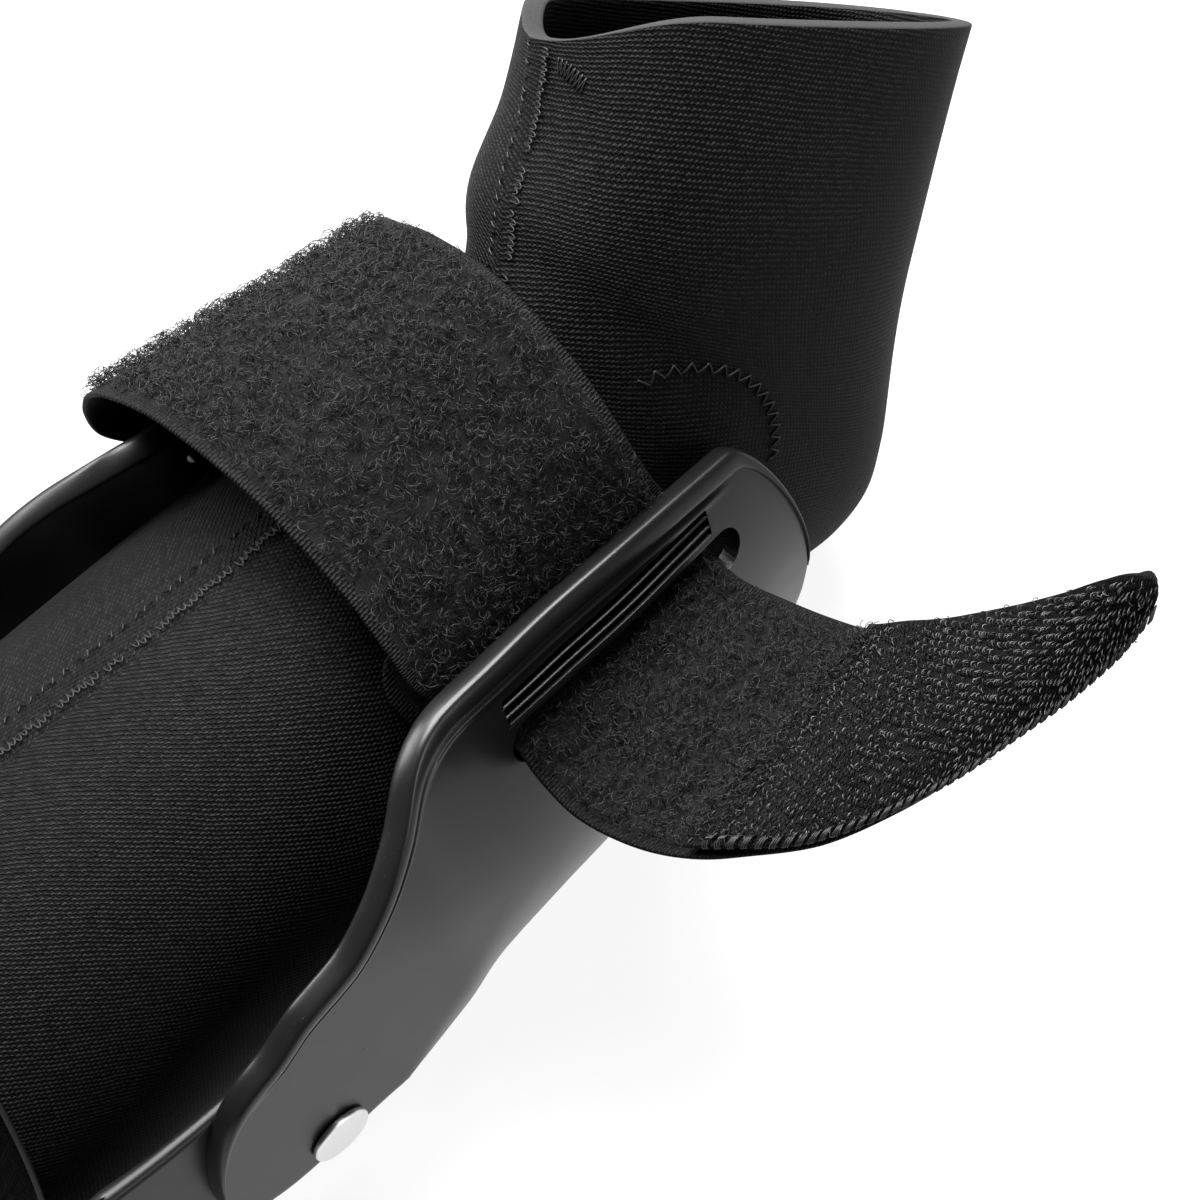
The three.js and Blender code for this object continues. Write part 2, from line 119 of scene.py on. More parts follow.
def sharpAbove(piece, degrees):
    work = bmesh.new()
    work.from_mesh(piece.data)
    for edge in work.edges:
        edge.smooth = not (edge.is_manifold and edge.calc_face_angle(0) > math.radians(degrees))
    work.to_mesh(piece.data)
    work.free()


def strands(name, lines, radius, material, sides=3, tones=None):
    # Many thin threads in one mesh. lines is an array of threads, points, xyz.
    lines = np.asarray(lines, float)
    count, steps, _ = lines.shape
    along = unit(np.gradient(lines, axis=1))
    helper = np.where(np.abs(along[..., 2:3]) < 0.8, [[[0.0, 0.0, 1.0]]], [[[1.0, 0.0, 0.0]]])
    helper = np.broadcast_to(helper[:, :1], along.shape)
    sideways = unit(np.cross(along, helper))
    upward = np.cross(sideways, along)
    turn = 2 * math.pi * np.arange(sides) / sides
    radius = np.broadcast_to(np.asarray(radius, float).reshape(-1, 1, 1, 1), (count, 1, 1, 1))
    ring = (sideways[:, :, None] * np.cos(turn)[None, None, :, None]
            + upward[:, :, None] * np.sin(turn)[None, None, :, None]) * radius
    vertices = (lines[:, :, None] + ring).reshape(-1, 3)
    k, s, c = np.meshgrid(np.arange(count), np.arange(steps - 1), np.arange(sides), indexing="ij")
    first = k * steps * sides + s * sides
    quads = np.stack([first + c, first + (c + 1) % sides, first + sides + (c + 1) % sides, first + sides + c], -1)
    faces = quads.reshape(-1, 4).tolist()
    start = np.arange(count) * steps * sides
    end = start + (steps - 1) * sides
    faces += (start[:, None] + np.arange(sides)[::-1]).tolist()
    faces += (end[:, None] + np.arange(sides)).tolist()
    piece = meshObject(name, vertices, faces, [material])
    tones = rng.uniform(0, 1, count) if tones is None else tones
    values = np.zeros((count, steps * sides, 3))
    values[..., 0] = tones[:, None]
    pointVectors(piece, "tone", values)
    return piece


class Finish:  # a material with one shader, and short calls that add its nodes
    def __init__(self, name):
        self.material = bpy.data.materials.new(name)
        self.material.use_nodes = True
        self.nodes = self.material.node_tree.nodes
        self.links = self.material.node_tree.links
        self.nodes.clear()
        self.output = self.nodes.new("ShaderNodeOutputMaterial")
        self.shader = self.nodes.new("ShaderNodeBsdfPrincipled")
        self.links.new(self.shader.outputs["BSDF"], self.output.inputs["Surface"])

    def put(self, socket, value):
        if isinstance(value, bpy.types.NodeSocket):
            self.links.new(value, socket)
        else:
            socket.default_value = value

    def maths(self, operation, *values):
        node = self.nodes.new("ShaderNodeMath")
        node.operation = operation
        for index, value in enumerate(values):
            self.put(node.inputs[index], value)
        return node.outputs[0]

    def times(self, a, b):
        return self.maths("MULTIPLY", a, b)

    def plus(self, a, b):
        return self.maths("ADD", a, b)

    def minus(self, a, b):
        return self.maths("SUBTRACT", a, b)

    def over(self, a, b):
        return self.maths("DIVIDE", a, b)

    def attribute(self, name):
        node = self.nodes.new("ShaderNodeAttribute")
        node.attribute_name = name
        split = self.nodes.new("ShaderNodeSeparateXYZ")
        self.links.new(node.outputs["Vector"], split.inputs[0])
        return split.outputs

    def random(self, x, y):  # one random number for each pair of whole numbers
        joined = self.nodes.new("ShaderNodeCombineXYZ")
        self.put(joined.inputs["X"], x)
        self.put(joined.inputs["Y"], y)
        node = self.nodes.new("ShaderNodeTexWhiteNoise")
        node.noise_dimensions = "2D"
        self.links.new(joined.outputs[0], node.inputs["Vector"])
        return node.outputs["Value"]

    def place(self):
        return self.nodes.new("ShaderNodeTexCoord").outputs["Object"]

    def noise(self, scale, detail=2.0, roughness=0.5, where=None, distortion=0.0):
        node = self.nodes.new("ShaderNodeTexNoise")
        self.put(node.inputs["Vector"], where or self.place())
        node.inputs["Scale"].default_value = scale
        node.inputs["Detail"].default_value = detail
        node.inputs["Roughness"].default_value = roughness
        node.inputs["Distortion"].default_value = distortion
        return node.outputs["Fac"]

    def ramp(self, value, low, high, fromLow=0.0, fromHigh=1.0):
        node = self.nodes.new("ShaderNodeMapRange")
        self.put(node.inputs["Value"], value)
        for key, number in (("From Min", fromLow), ("From Max", fromHigh), ("To Min", low), ("To Max", high)):
            self.put(node.inputs[key], number)
        return node.outputs["Result"]

    def blendColours(self, factor, dark, light):
        node = self.nodes.new("ShaderNodeMix")
        node.data_type = "RGBA"
        self.put(node.inputs["Factor"], factor)
        self.put(node.inputs["A"], dark if isinstance(dark, bpy.types.NodeSocket) else (*dark, 1))
        self.put(node.inputs["B"], light if isinstance(light, bpy.types.NodeSocket) else (*light, 1))
        return node.outputs["Result"]

    def bump(self, height, distance):
        node = self.nodes.new("ShaderNodeBump")
        node.inputs["Strength"].default_value = 1.0
        node.inputs["Distance"].default_value = distance
        self.put(node.inputs["Height"], height)
        return node.outputs["Normal"]

    def finish(self, **values):
        for name, value in values.items():
            self.put(self.shader.inputs[name.replace("_", " ")], value)
        return self.material


def grey(level, cool=1.03):
    return (level, level, level * cool)


def stitchRelief(finish, along, across, cell, arc=0.16, wobble=0.25, sway=0.0, half=0.36, shift=0.5, gap=0.82):
    # Rows of short arched stitches, each row moved by shift: a height from 0 to 1 and a random number per
    # stitch. cell is a stitch's length and width, and gap is how deep it dips at its ends.
    drift = finish.times(finish.minus(finish.noise(900, 2), 0.5), wobble)
    broad = finish.times(finish.minus(finish.noise(110, 2), 0.5), sway)
    u = finish.plus(finish.over(along, cell[0]), drift)
    v = finish.plus(finish.plus(finish.over(across, cell[1]), drift), broad)
    row = finish.maths("FLOOR", v)
    placed = finish.plus(u, finish.maths("FRACT", finish.times(row, shift)))
    spot = finish.minus(finish.maths("FRACT", placed), 0.5)
    rise = finish.minus(finish.maths("FRACT", v), 0.5)
    bow = finish.times(finish.maths("COSINE", finish.times(spot, 2 * math.pi)), arc)
    off = finish.over(finish.maths("ABSOLUTE", finish.minus(rise, bow)), half)
    ridge = finish.maths("MAXIMUM", finish.minus(1.0, finish.maths("POWER", off, 2.0)), 0.0)
    ends = finish.maths("POWER", finish.maths("ABSOLUTE", finish.times(spot, 2.0)), 3.0)
    height = finish.times(ridge, finish.minus(1.0, finish.times(ends, gap)))
    return height, finish.random(finish.maths("FLOOR", placed), row)


# the colour given for the dips between stitches is painted shade, and the thread colour is partly painted highlight on
# the stitch tops
jersey = {"courses": 0.84 * mm, "stitch": 0.92 * mm, "relief": 0.36 * mm, "valleyShade": 0.0003, "thread": 0.0085,
          "shift": 0.38, "holeAt": 2.0 * mm, "holePitch": 3.1 * mm, "holeWide": 0.8 * mm, "holeDeep": 1.6,
          "holeSway": 2.2 * mm, "stripHalf": 1.0 * mm, "stripDark": 0.4}


def jerseyMaterial(name="jersey", lighter=1.0):
    finish = Finish(name)
    along, across, _ = finish.attribute("knit")
    cell = (jersey["stitch"], jersey["courses"])
    relief, chance = stitchRelief(finish, along, across, cell, 0.13, 0.42, 1.1, 0.31, jersey["shift"])
    patchy = finish.ramp(finish.noise(260, 3, 0.6), 0.5, 1.45)
    # the colour follows the stitch relief: painted shade in the dips and painted highlight on the stitch tops, times a
    # random tone per stitch and in patches
    lit = finish.times(finish.times(relief, finish.ramp(chance, 0.2, 1.4)), patchy)
    # the seam is a darker strip with a row of needle holes on its left; the holes' colour is darkened, painted shade
    # inside them
    fromSeam, alongSeam, seamOn = finish.attribute("seam")
    inStrip = finish.times(finish.maths("LESS_THAN", finish.maths("ABSOLUTE", fromSeam), jersey["stripHalf"]), seamOn)
    lit = finish.times(lit, finish.minus(1.0, finish.times(inStrip, jersey["stripDark"])))
    shaken = finish.plus(alongSeam, finish.times(finish.noise(500, 2), jersey["holeSway"]))
    spot = finish.minus(finish.maths("FRACT", finish.over(shaken, jersey["holePitch"])), 0.5)
    lengthwise = finish.times(spot, jersey["holePitch"])
    sidelong = finish.minus(finish.maths("ABSOLUTE", fromSeam), jersey["holeAt"])
    reach = finish.maths("SQRT", finish.plus(finish.times(lengthwise, lengthwise), finish.times(sidelong, sidelong)))
    hole = finish.ramp(reach, 1.0, 0.0, jersey["holeWide"] * 0.5, jersey["holeWide"] * 1.3)
    leftOnly = finish.ramp(fromSeam, 1.0, 0.45, -0.5 * mm, 0.5 * mm)
    hole = finish.times(finish.times(hole, leftOnly), seamOn)
    # painted shade: the colour goes dark inside each needle hole
    lit = finish.times(lit, finish.minus(1.0, hole))
    colour = finish.blendColours(lit, grey(jersey["valleyShade"]), grey(jersey["thread"] * lighter))
    height = finish.plus(relief, finish.times(finish.noise(5200, 2, 0.6), 0.4))
    height = finish.minus(height, finish.times(hole, jersey["holeDeep"]))
    normal = finish.bump(height, jersey["relief"])
    return finish.finish(Base_Color=colour, Roughness=0.6, Normal=normal, Specular_IOR_Level=0.05)


def foamMaterial():  # the cut edge of the foam between its two jersey faces
    finish = Finish("cut_foam")
    pores = finish.noise(2600, 3, 0.7)
    colour = finish.blendColours(pores, grey(0.005), grey(0.02))
    normal = finish.bump(pores, 0.12 * mm)
    return finish.finish(Base_Color=colour, Roughness=0.85, Normal=normal, Specular_IOR_Level=0.1)


def threadMaterial(name="sewing_thread", dark=0.001, light=0.006, rough=0.55):
    finish = Finish(name)
    twist = finish.noise(3800, 2, 0.6)
    colour = finish.blendColours(twist, grey(dark), grey(light))
    normal = finish.bump(twist, 0.06 * mm)
    return finish.finish(Base_Color=colour, Roughness=rough, Normal=normal, Specular_IOR_Level=0.25)


plastic = {"colour": 0.003, "roughness": 0.3, "shine": 0.17, "scratch": 0.12}


def plasticMaterial(name, roughness=plastic["roughness"], shine=plastic["shine"]):
    finish = Finish(name)
    stretched = finish.nodes.new("ShaderNodeMapping")
    finish.links.new(finish.place(), stretched.inputs["Vector"])
    stretched.inputs["Rotation"].default_value = (0.4, 0.9, 0.6)
    stretched.inputs["Scale"].default_value = (1.0, 14.0, 1.0)
    scratch = finish.noise(420, 2, 0.7, stretched.outputs["Vector"])
    lines = finish.ramp(scratch, 0.0, 1.0, 0.70, 0.75)
    mottle = finish.noise(90, 3, 0.55)
    mould = finish.noise(1500, 2, 0.5)
    rough = finish.ramp(mottle, roughness - 0.04, roughness + 0.05)
    rough = finish.plus(rough, finish.times(lines, plastic["scratch"]))
    base = finish.blendColours(mottle, grey(plastic["colour"] * 0.85), grey(plastic["colour"] * 1.2))
    tone = finish.blendColours(finish.times(lines, 0.12), base, grey(0.05))
    height = finish.plus(finish.times(mould, 0.5), finish.times(lines, -0.6))
    normal = finish.bump(height, 0.018 * mm)
    return finish.finish(Base_Color=tone, Roughness=rough, Normal=normal, Specular_IOR_Level=shine)


def steelMaterial():
    finish = Finish("polished_steel")
    brushed = finish.noise(1400, 3, 0.6)
    rough = finish.ramp(brushed, 0.3, 0.45)
    normal = finish.bump(brushed, 0.006 * mm)
    return finish.finish(Base_Color=(0.7, 0.7, 0.71, 1), Metallic=1.0, Roughness=rough, Normal=normal)


weave = {"ribs": 0.7 * mm, "picks": 1.3 * mm, "relief": 0.3 * mm}


def weaveMaterial(name="strap_weave", low=0.0004, high=0.006):
    finish = Finish(name)
    along, across, _ = finish.attribute("weave")
    relief, chance = stitchRelief(finish, across, along, (weave["picks"], weave["ribs"]), 0.05, 0.2, 0.3)
    mixed = finish.times(relief, finish.ramp(chance, 0.45, 1.15))
    patchy = finish.ramp(finish.noise(300, 2, 0.6), 0.7, 1.25)
    # the colour follows the rib relief: painted shade in the dips and painted highlight on the rib tops, times a
    # random tone
    colour = finish.blendColours(finish.times(mixed, patchy), grey(low), grey(high))
    normal = finish.bump(finish.plus(relief, finish.times(finish.noise(4500), 0.3)), weave["relief"])
    return finish.finish(Base_Color=colour, Roughness=0.62, Normal=normal, Specular_IOR_Level=0.06)


def pileBedMaterial():  # the matted foot of the loop pile under the standing loops
    finish = Finish("pile_bed")
    tangle = finish.noise(1050, 4, 0.75, distortion=2.5)
    fine = finish.noise(3800, 3, 0.7, distortion=1.5)
    mixed = finish.times(tangle, finish.plus(fine, 0.45))
    lit = finish.ramp(mixed, 0.0, 1.0, 0.25, 0.75)
    colour = finish.blendColours(lit, grey(0.001), grey(0.008))
    normal = finish.bump(mixed, 0.9 * mm)
    return finish.finish(Base_Color=colour, Roughness=0.85, Normal=normal, Specular_IOR_Level=0.1)


def fibreMaterial(name, dark, light, rough, power=2.0):  # most threads are dark and a few are light
    finish = Finish(name)
    tone, _, _ = finish.attribute("tone")
    along = finish.ramp(finish.noise(700, 2, 0.6), 0.6, 1.3)
    lit = finish.times(finish.maths("POWER", tone, power), along)
    colour = finish.blendColours(lit, grey(dark), grey(light))
    normal = finish.bump(finish.noise(6000, 1), 0.01 * mm)
    return finish.finish(Base_Color=colour, Roughness=rough, Normal=normal, Specular_IOR_Level=0.16)


jerseyFace = jerseyMaterial()
# the inside faces get the same jersey at 0.8 of its brightness: painted shade inside the tube
jerseyInsideShaded = jerseyMaterial("jersey_inside_painted_shade", 0.8)
cutFoam = foamMaterial()
sewingThread = threadMaterial()
shellPlastic = plasticMaterial("shell_plastic")
stirrupPlastic = plasticMaterial("stirrup_plastic", 0.33, 0.1)
polishedSteel = steelMaterial()
strapWeave = weaveMaterial()
pileBed = pileBedMaterial()
pileFibre = fibreMaterial("pile_fibre", 0.0003, 0.014, 0.5, 3.2)
hookBed = weaveMaterial("hook_tape_weave", 0.0004, 0.002)
hookFibre = fibreMaterial("hook_fibre", 0.002, 0.045, 0.4, 1.5)
overlockThread = fibreMaterial("overlock_thread", 0.002, 0.014, 0.5, 1.0)
# near-black thread for the zigzags: real stitches, darkened to also paint the shade of the dents they pull into the
# sleeve
shadeDarkThread = threadMaterial("dark_thread_dent_shade", 0.001, 0.008)
print("materials ready")


# The camera stands where the photograph's vanishing lines and the rivet's ellipse put it.
view = {"right": (0.708, -0.700, -0.089), "up": (0.650, 0.598, 0.470), "lens": 73.77, "sensor": 36.0,
        "rivetPixel": (338, 1131), "rivetDepth": 450.0, "rivetAt": (0, -54, 0), "imageSize": 1200}


def makeCamera():
    right = Vector(view["right"]).normalized()
    up = Vector(view["up"])
    up = (up - right * up.dot(right)).normalized()
    back = right.cross(up)
    focal = view["lens"] / view["sensor"] * view["imageSize"]
    px, py = view["rivetPixel"]
    middle = view["imageSize"] / 2
    ray = back - right * ((px - middle) / focal) + up * ((py - middle) / focal)
    at = Vector(toPart(np.array(view["rivetAt"]) + np.array(ray) * view["rivetDepth"]))
    data = bpy.data.cameras.new("camera")
    data.lens, data.sensor_width, data.sensor_fit = view["lens"], view["sensor"], "HORIZONTAL"
    data.clip_start, data.clip_end = 0.01, 20
    camera = bpy.data.objects.new("camera", data)
    camera.matrix_world = Matrix.Translation(at) @ Matrix((right, up, back)).transposed().to_4x4()
    bpy.context.scene.collection.objects.link(camera)
    bpy.context.scene.camera = camera
    return at, right, up, back, focal


eye, imageRight, imageUp, imageBack, focalPixels = makeCamera()


def pixelRay(px, py):
    right, down = (px - view["imageSize"] / 2) / focalPixels, (py - view["imageSize"] / 2) / focalPixels
    return (imageRight * right - imageUp * down - imageBack).normalized()


# Sleeve, the bent neoprene tube: a row for each section, from the leg end to the foot end.
sleeve = {
    "front": [(-34, 10, 66.5), (-2, 9, 70.5), (36, 5.5, 74), (64, 6, 75), (92, 7, 78), (109, 8, 83), (117, 10, 88),
              (124, 14, 96), (136, 17, 106), (147, 23, 119.5)],
    "back": [(-56, 0, -25), (-12, 0, -27.5), (34, 0, -27.5), (68, 0, -27.5), (100, -2, -27.5), (131, -8, -27),
             (164.5, -14, -25), (178.5, -13, -5), (193, -7.5, 36), (220, -0.5, 71.5)],
    "wide": [42.5, 43, 42.5, 40, 34, 28, 30, 32, 31, 26.5],
    "square": [2.2, 2.2, 2.2, 2.2, 2.2, 2.2, 2.3, 2.4, 2.4, 2.4],
    "lean": [0, 0, 0, 0, 0, 0, 0, 0, 2, 5],
    "wall": 4.0, "rows": 150, "around": 176, "ripple": 0.175, "shrink": 0.25, "endBulge": 0.3,
    "seamHalf": 3.6, "seamRise": 0.4, "seamThread": 0.15, "courseTurn": (0.78, -0.62),
    "seamDegrees": [-5, -5.3, -5, -3.5, 0, 0, 0, 0, -2.5, -2],
    "dip": 6, "dipMiddle": -4, "dipLeft": 34, "dipRight": 62, "dipRows": 0.9,
}
sleeveLast = len(sleeve["front"]) - 1


def sleeveSection(at):
    front, back = spline(sleeve["front"], at), spline(sleeve["back"], at)
    ahead, behind = np.minimum(at + 0.2, sleeveLast), np.maximum(at - 0.2, 0)
    along = unit(spline(sleeve["front"], ahead) + spline(sleeve["back"], ahead)
                 - (spline(sleeve["front"], behind) + spline(sleeve["back"], behind)))
    middle = (front + back) / 2
    deep = front - middle
    depth = np.linalg.norm(deep, axis=-1, keepdims=True)
    deep = deep / depth
    return middle, deep, depth, unit(np.cross(deep, along)), along


def sleevePoints(at, degrees, offset):  # outer surface of the sleeve, pushed out by offset
    at, degrees, offset = np.broadcast_arrays(np.asarray(at, float), np.asarray(degrees, float), offset)
    shape = at.shape
    at, degrees, offset = at.ravel(), degrees.ravel(), offset.ravel()[:, None]
    middle, deep, depth, across, along = sleeveSection(at)
    power = (2 / spline(sleeve["square"], at))[:, None]
    wide = spline(sleeve["wide"], at)[:, None] + offset
    angle = np.radians(degrees)[:, None]
    c, s = np.cos(angle), np.sin(angle)
    sideways = np.sign(s) * np.abs(s) ** power
    points = (middle + deep * (depth + offset) * np.sign(c) * np.abs(c) ** power - across * wide * sideways
              + along * spline(sleeve["lean"], at)[:, None] * sideways)
    # the mouth dips towards the ankle round the seam
    turn = np.where(degrees > 180, degrees - 360, degrees)
    reach = np.where(turn < sleeve["dipMiddle"], sleeve["dipLeft"], sleeve["dipRight"])
    aside = np.clip((turn - sleeve["dipMiddle"]) / reach, -1, 1)
    near = np.clip(1 + (at - sleeveLast) / sleeve["dipRows"], 0, 1)
    points = points - along * (sleeve["dip"] * np.cos(aside * math.pi / 2) ** 2 * near)[:, None]
    return points.reshape(*shape, 3)


def makeSleeve():
    rows, around = sleeve["rows"], sleeve["around"]
    at = np.linspace(0, sleeveLast, rows)
    # more points near the seams at the front and the back of the leg
    t = np.arange(around) / around
    degrees = 360 * (t - 0.55 * np.sin(4 * math.pi * t) / (4 * math.pi))
    atGrid, angleGrid = np.meshgrid(at, degrees, indexing="ij")
    plain = sleevePoints(atGrid, angleGrid, 0.0)
    # distance from the front seam round the tube, on either side of it
    gaps = np.linalg.norm(np.diff(np.concatenate([plain, plain[:, :1]], 1), axis=1), axis=-1)
    run = np.concatenate([np.zeros((rows, 1)), np.cumsum(gaps, 1)], 1)
    girth = run[:, -1:]
    fromFront = np.minimum(run[:, :-1], girth - run[:, :-1])
    fromBack = girth / 2 - fromFront
    seamAngles = spline(sleeve["seamDegrees"], at) % 360
    seamRun = np.array([np.interp(seamAngles[i], np.append(degrees, 360), run[i]) for i in range(rows)])[:, None]
    signed = (run[:, :-1] - seamRun + girth / 2) % girth - girth / 2
    edge = np.minimum(atGrid, sleeveLast - atGrid)
    seam = np.minimum(np.abs(signed), fromBack) / sleeve["seamHalf"]
    ridge = sleeve["seamRise"] * np.sqrt(np.clip(1 - seam ** 4, 0, 1))
    # soft unevenness of worn foam, which fades out at the cut ends
    ripple = np.sin(plain[..., 0] / 17 + 1.3) * np.sin(plain[..., 2] / 13 + plain[..., 1] / 21)
    raised = ridge + sleeve["ripple"] * ripple * np.clip(edge / 0.25, 0, 1) - sleeve["shrink"]
    grid = sleevePoints(atGrid, angleGrid, raised)
    inner = sleevePoints(atGrid, angleGrid, -sleeve["wall"])

    def endRings(index, direction):  # rounded cut ends: extra rings between the two faces
        out, inn = grid[index], inner[index]
        push = sleeveSection(np.full(around, at[index]))[4] * direction
        rings = []
        for share in (0.06, 0.2, 0.4, 0.6, 0.8, 0.94):
            bulge = sleeve["endBulge"] * (1 - (2 * share - 1) ** 2) ** 0.25
            rings.append(lerp(out, inn, share) + push * bulge)
        return rings
    mouth, leg = endRings(-1, 1), endRings(0, -1)
    rings = [grid[i] for i in range(rows)] + mouth + [inner[i] for i in range(rows - 1, -1, -1)] + leg[::-1]
    total = len(rings)
    vertices = toPart(np.array(rings).reshape(-1, 3))
    faces, kinds = [], []
    for r in range(total):
        nextRow = (r + 1) % total
        outside = r < rows - 1
        inside = rows + len(mouth) <= r < 2 * rows + len(mouth) - 1
        for c in range(around):
            d = (c + 1) % around
            faces.append((r * around + c, nextRow * around + c, nextRow * around + d, r * around + d))
            kinds.append(0 if outside else 1 if inside else 2)
    # the inside faces take the darker jersey copy, painted shade inside the tube
    piece = meshObject("sleeve_body", vertices, faces, [jerseyFace, jerseyInsideShaded, cutFoam])
    piece.data.polygons.foreach_set("material_index", kinds)
    facesOut(piece)
    # the panel laid flat in its side view: the courses of the knit run straight across it
    middle, deep, _, _, _ = sleeveSection(at)
    flat = middle[:, None] + deep[:, None] * (girth / 4 - fromFront)[..., None]
    course = np.array(sleeve["courseTurn"]) / np.linalg.norm(sleeve["courseTurn"])
    onCourse = (flat[..., 0] * course[0] + flat[..., 2] * course[1]) * mm
    overCourses = (flat[..., 2] * course[0] - flat[..., 0] * course[1]) * mm
    knit = np.stack([onCourse, overCourses, fromFront * mm], -1)
    stack = [knit[i] for i in range(rows)] + [knit[-1]] * len(mouth)
    stack += [knit[i] for i in range(rows - 1, -1, -1)] + [knit[0]] * len(leg)
    pointVectors(piece, "knit", np.array(stack))
    # signed distance from the front seam, length along it, and where the seam shows
    frontLine = np.array([sleevePoints(a, s, 0.0) for a, s in zip(at, seamAngles)]).reshape(-1, 3)
    seamLength = lengthAlong(frontLine)[:, None]
    shown = np.broadcast_to(np.clip(4.5 - np.abs(signed), 0, 1), signed.shape)
    seamAt = np.stack([signed * mm, np.broadcast_to(seamLength * mm, signed.shape), shown], -1)
    hidden = np.stack([signed * mm, signed * 0, signed * 0], -1)
    stack = [seamAt[i] for i in range(rows)] + [hidden[-1]] * len(mouth)
    stack += [hidden[i] for i in range(rows - 1, -1, -1)] + [hidden[0]] * len(leg)
    pointVectors(piece, "seam", np.array(stack))
    return piece


sleeveBody = makeSleeve()
print("sleeve made", len(sleeveBody.data.polygons))


def sleeveTree():
    mesh = sleeveBody.data
    return BVHTree.FromPolygons([v.co.copy() for v in mesh.vertices], [tuple(p.vertices) for p in mesh.polygons])


sleeveSurface = sleeveTree()


def angleAtDistance(at, distance, base):  # the angle that lies this far round from the angle base
    degrees = base + np.linspace(-30, 30, 61)
    points = sleevePoints(np.full(61, at), degrees, 0.0)
    run = lengthAlong(points)
    return np.interp(np.asarray(distance) + run[30], run, degrees)


def seamPlaces(line, pitch):  # row numbers at an even pitch along the front or the back line
    fine = np.linspace(0.04, sleeveLast - 0.04, 400)
    points = spline(sleeve[line], fine)
    run = lengthAlong(points)
    return np.interp(np.arange(0, run[-1], pitch), run, fine)


# Stitches of the seams, in millimetres: loops beyond loopFrom on the right, slanted threads on the left.
stitch = {"frontPitch": 1.25, "backPitch": 1.6, "loopShare": 0.9, "loopFrom": 1.9, "loopTall": 1.5,
          "slantShare": 0.8, "slantFrom": 1.75, "slantLong": 1.1}


def seamStitches():
    lines = []
    t = np.linspace(0, 1, 6)
    for line, back, pitch in (("front", False, stitch["frontPitch"]), ("back", True, stitch["backPitch"])):
        places = seamPlaces(line, pitch)
        for k in range(1, len(places) - 1):
            here, step = places[k], places[k + 1] - places[k]
            base = 180.0 if back else float(spline(sleeve["seamDegrees"], here)[0])
            jitter = rng.uniform(-1, 1, 8)
            if rng.uniform() < stitch["loopShare"]:
                tall = stitch["loopTall"] + 0.35 * jitter[0]
                distance = stitch["loopFrom"] + 0.3 * jitter[1] + tall * np.sin(math.pi * t)
                spots = here + step * (0.45 + 0.1 * jitter[2]) * (-np.cos(math.pi * t))
                angles = angleAtDistance(here, distance, base)
                lines.append(sleevePoints(spots, angles, 0.18 + 0.26 * np.sin(math.pi * t)))
            if k % 2 and rng.uniform() < stitch["slantShare"]:
                distance = -stitch["slantFrom"] - (stitch["slantLong"] + 0.3 * jitter[3]) * t
                spots = here + step * (0.2 + 0.7 * t + 0.3 * jitter[4])
                angles = angleAtDistance(here, distance, base)
                lines.append(sleevePoints(spots, angles, 0.2 + 0.22 * np.sin(math.pi * t)))
    return strands("seam_stitches", toPart(np.array(lines)), sleeve["seamThread"] * mm, sewingThread, 4)


seamThread = seamStitches()

# Zigzags sewn on the sleeve, each along a line of pixels of the photograph.
tack = {"path": [(640, 385), (660, 374), (682, 369), (705, 368), (728, 371), (748, 380), (763, 396), (773, 416),
                 (775, 440), (771, 462)], "zig": 1.15 * mm, "pitch": 3.3 * mm, "thread": 0.22 * mm}
barTack = {"path": [(558, 66), (566, 70), (575, 78), (586, 88)], "zig": 1.5 * mm, "pitch": 0.9 * mm,
           "thread": 0.12 * mm}


def surfaceLine(pixels, step):  # points on the sleeve behind a line of photo pixels, evenly spaced
    fine = spline(np.array(pixels, float), np.linspace(0, len(pixels) - 1, 120))
    points, normals = [], []
    for px, py in fine:
        hit, normal, _, _ = sleeveSurface.ray_cast(eye, pixelRay(px, py))
        if hit is not None:
            points.append(np.array(hit))
            normals.append(np.array(normal))
    points, normals = np.array(points), np.array(normals)
    run = lengthAlong(points)
    spots = np.arange(0, run[-1], step)
    even = np.stack([np.interp(spots, run, points[:, k]) for k in range(3)], 1)
    evenNormals = unit(np.stack([np.interp(spots, run, normals[:, k]) for k in range(3)], 1))
    return even, evenNormals


def zigzag(name, plan):
    points, normals = surfaceLine(plan["path"], plan["pitch"] / 2)
    along = unit(np.gradient(points, axis=0))
    sideways = np.cross(along, normals)
    lines = []
    for k in range(len(points) - 1):
        side = 1 if k % 2 else -1
        a = points[k] + sideways[k] * plan["zig"] * side
        b = points[k + 1] - sideways[k + 1] * plan["zig"] * side
        t = np.linspace(0, 1, 6)[:, None]
        height = 0.05 * mm + 0.16 * mm * np.sin(math.pi * t) ** 0.6
        lines.append(lerp(a, b, t) + lerp(normals[k], normals[k + 1], t) * height)
    # the near-black thread also stands for painted shade in the stitch dents
    return strands(name, np.array(lines), plan["thread"], shadeDarkThread, 4)


tackThread = zigzag("tack_stitches", tack)
barTackThread = zigzag("bar_tack", barTack)
print("sleeve sewn")


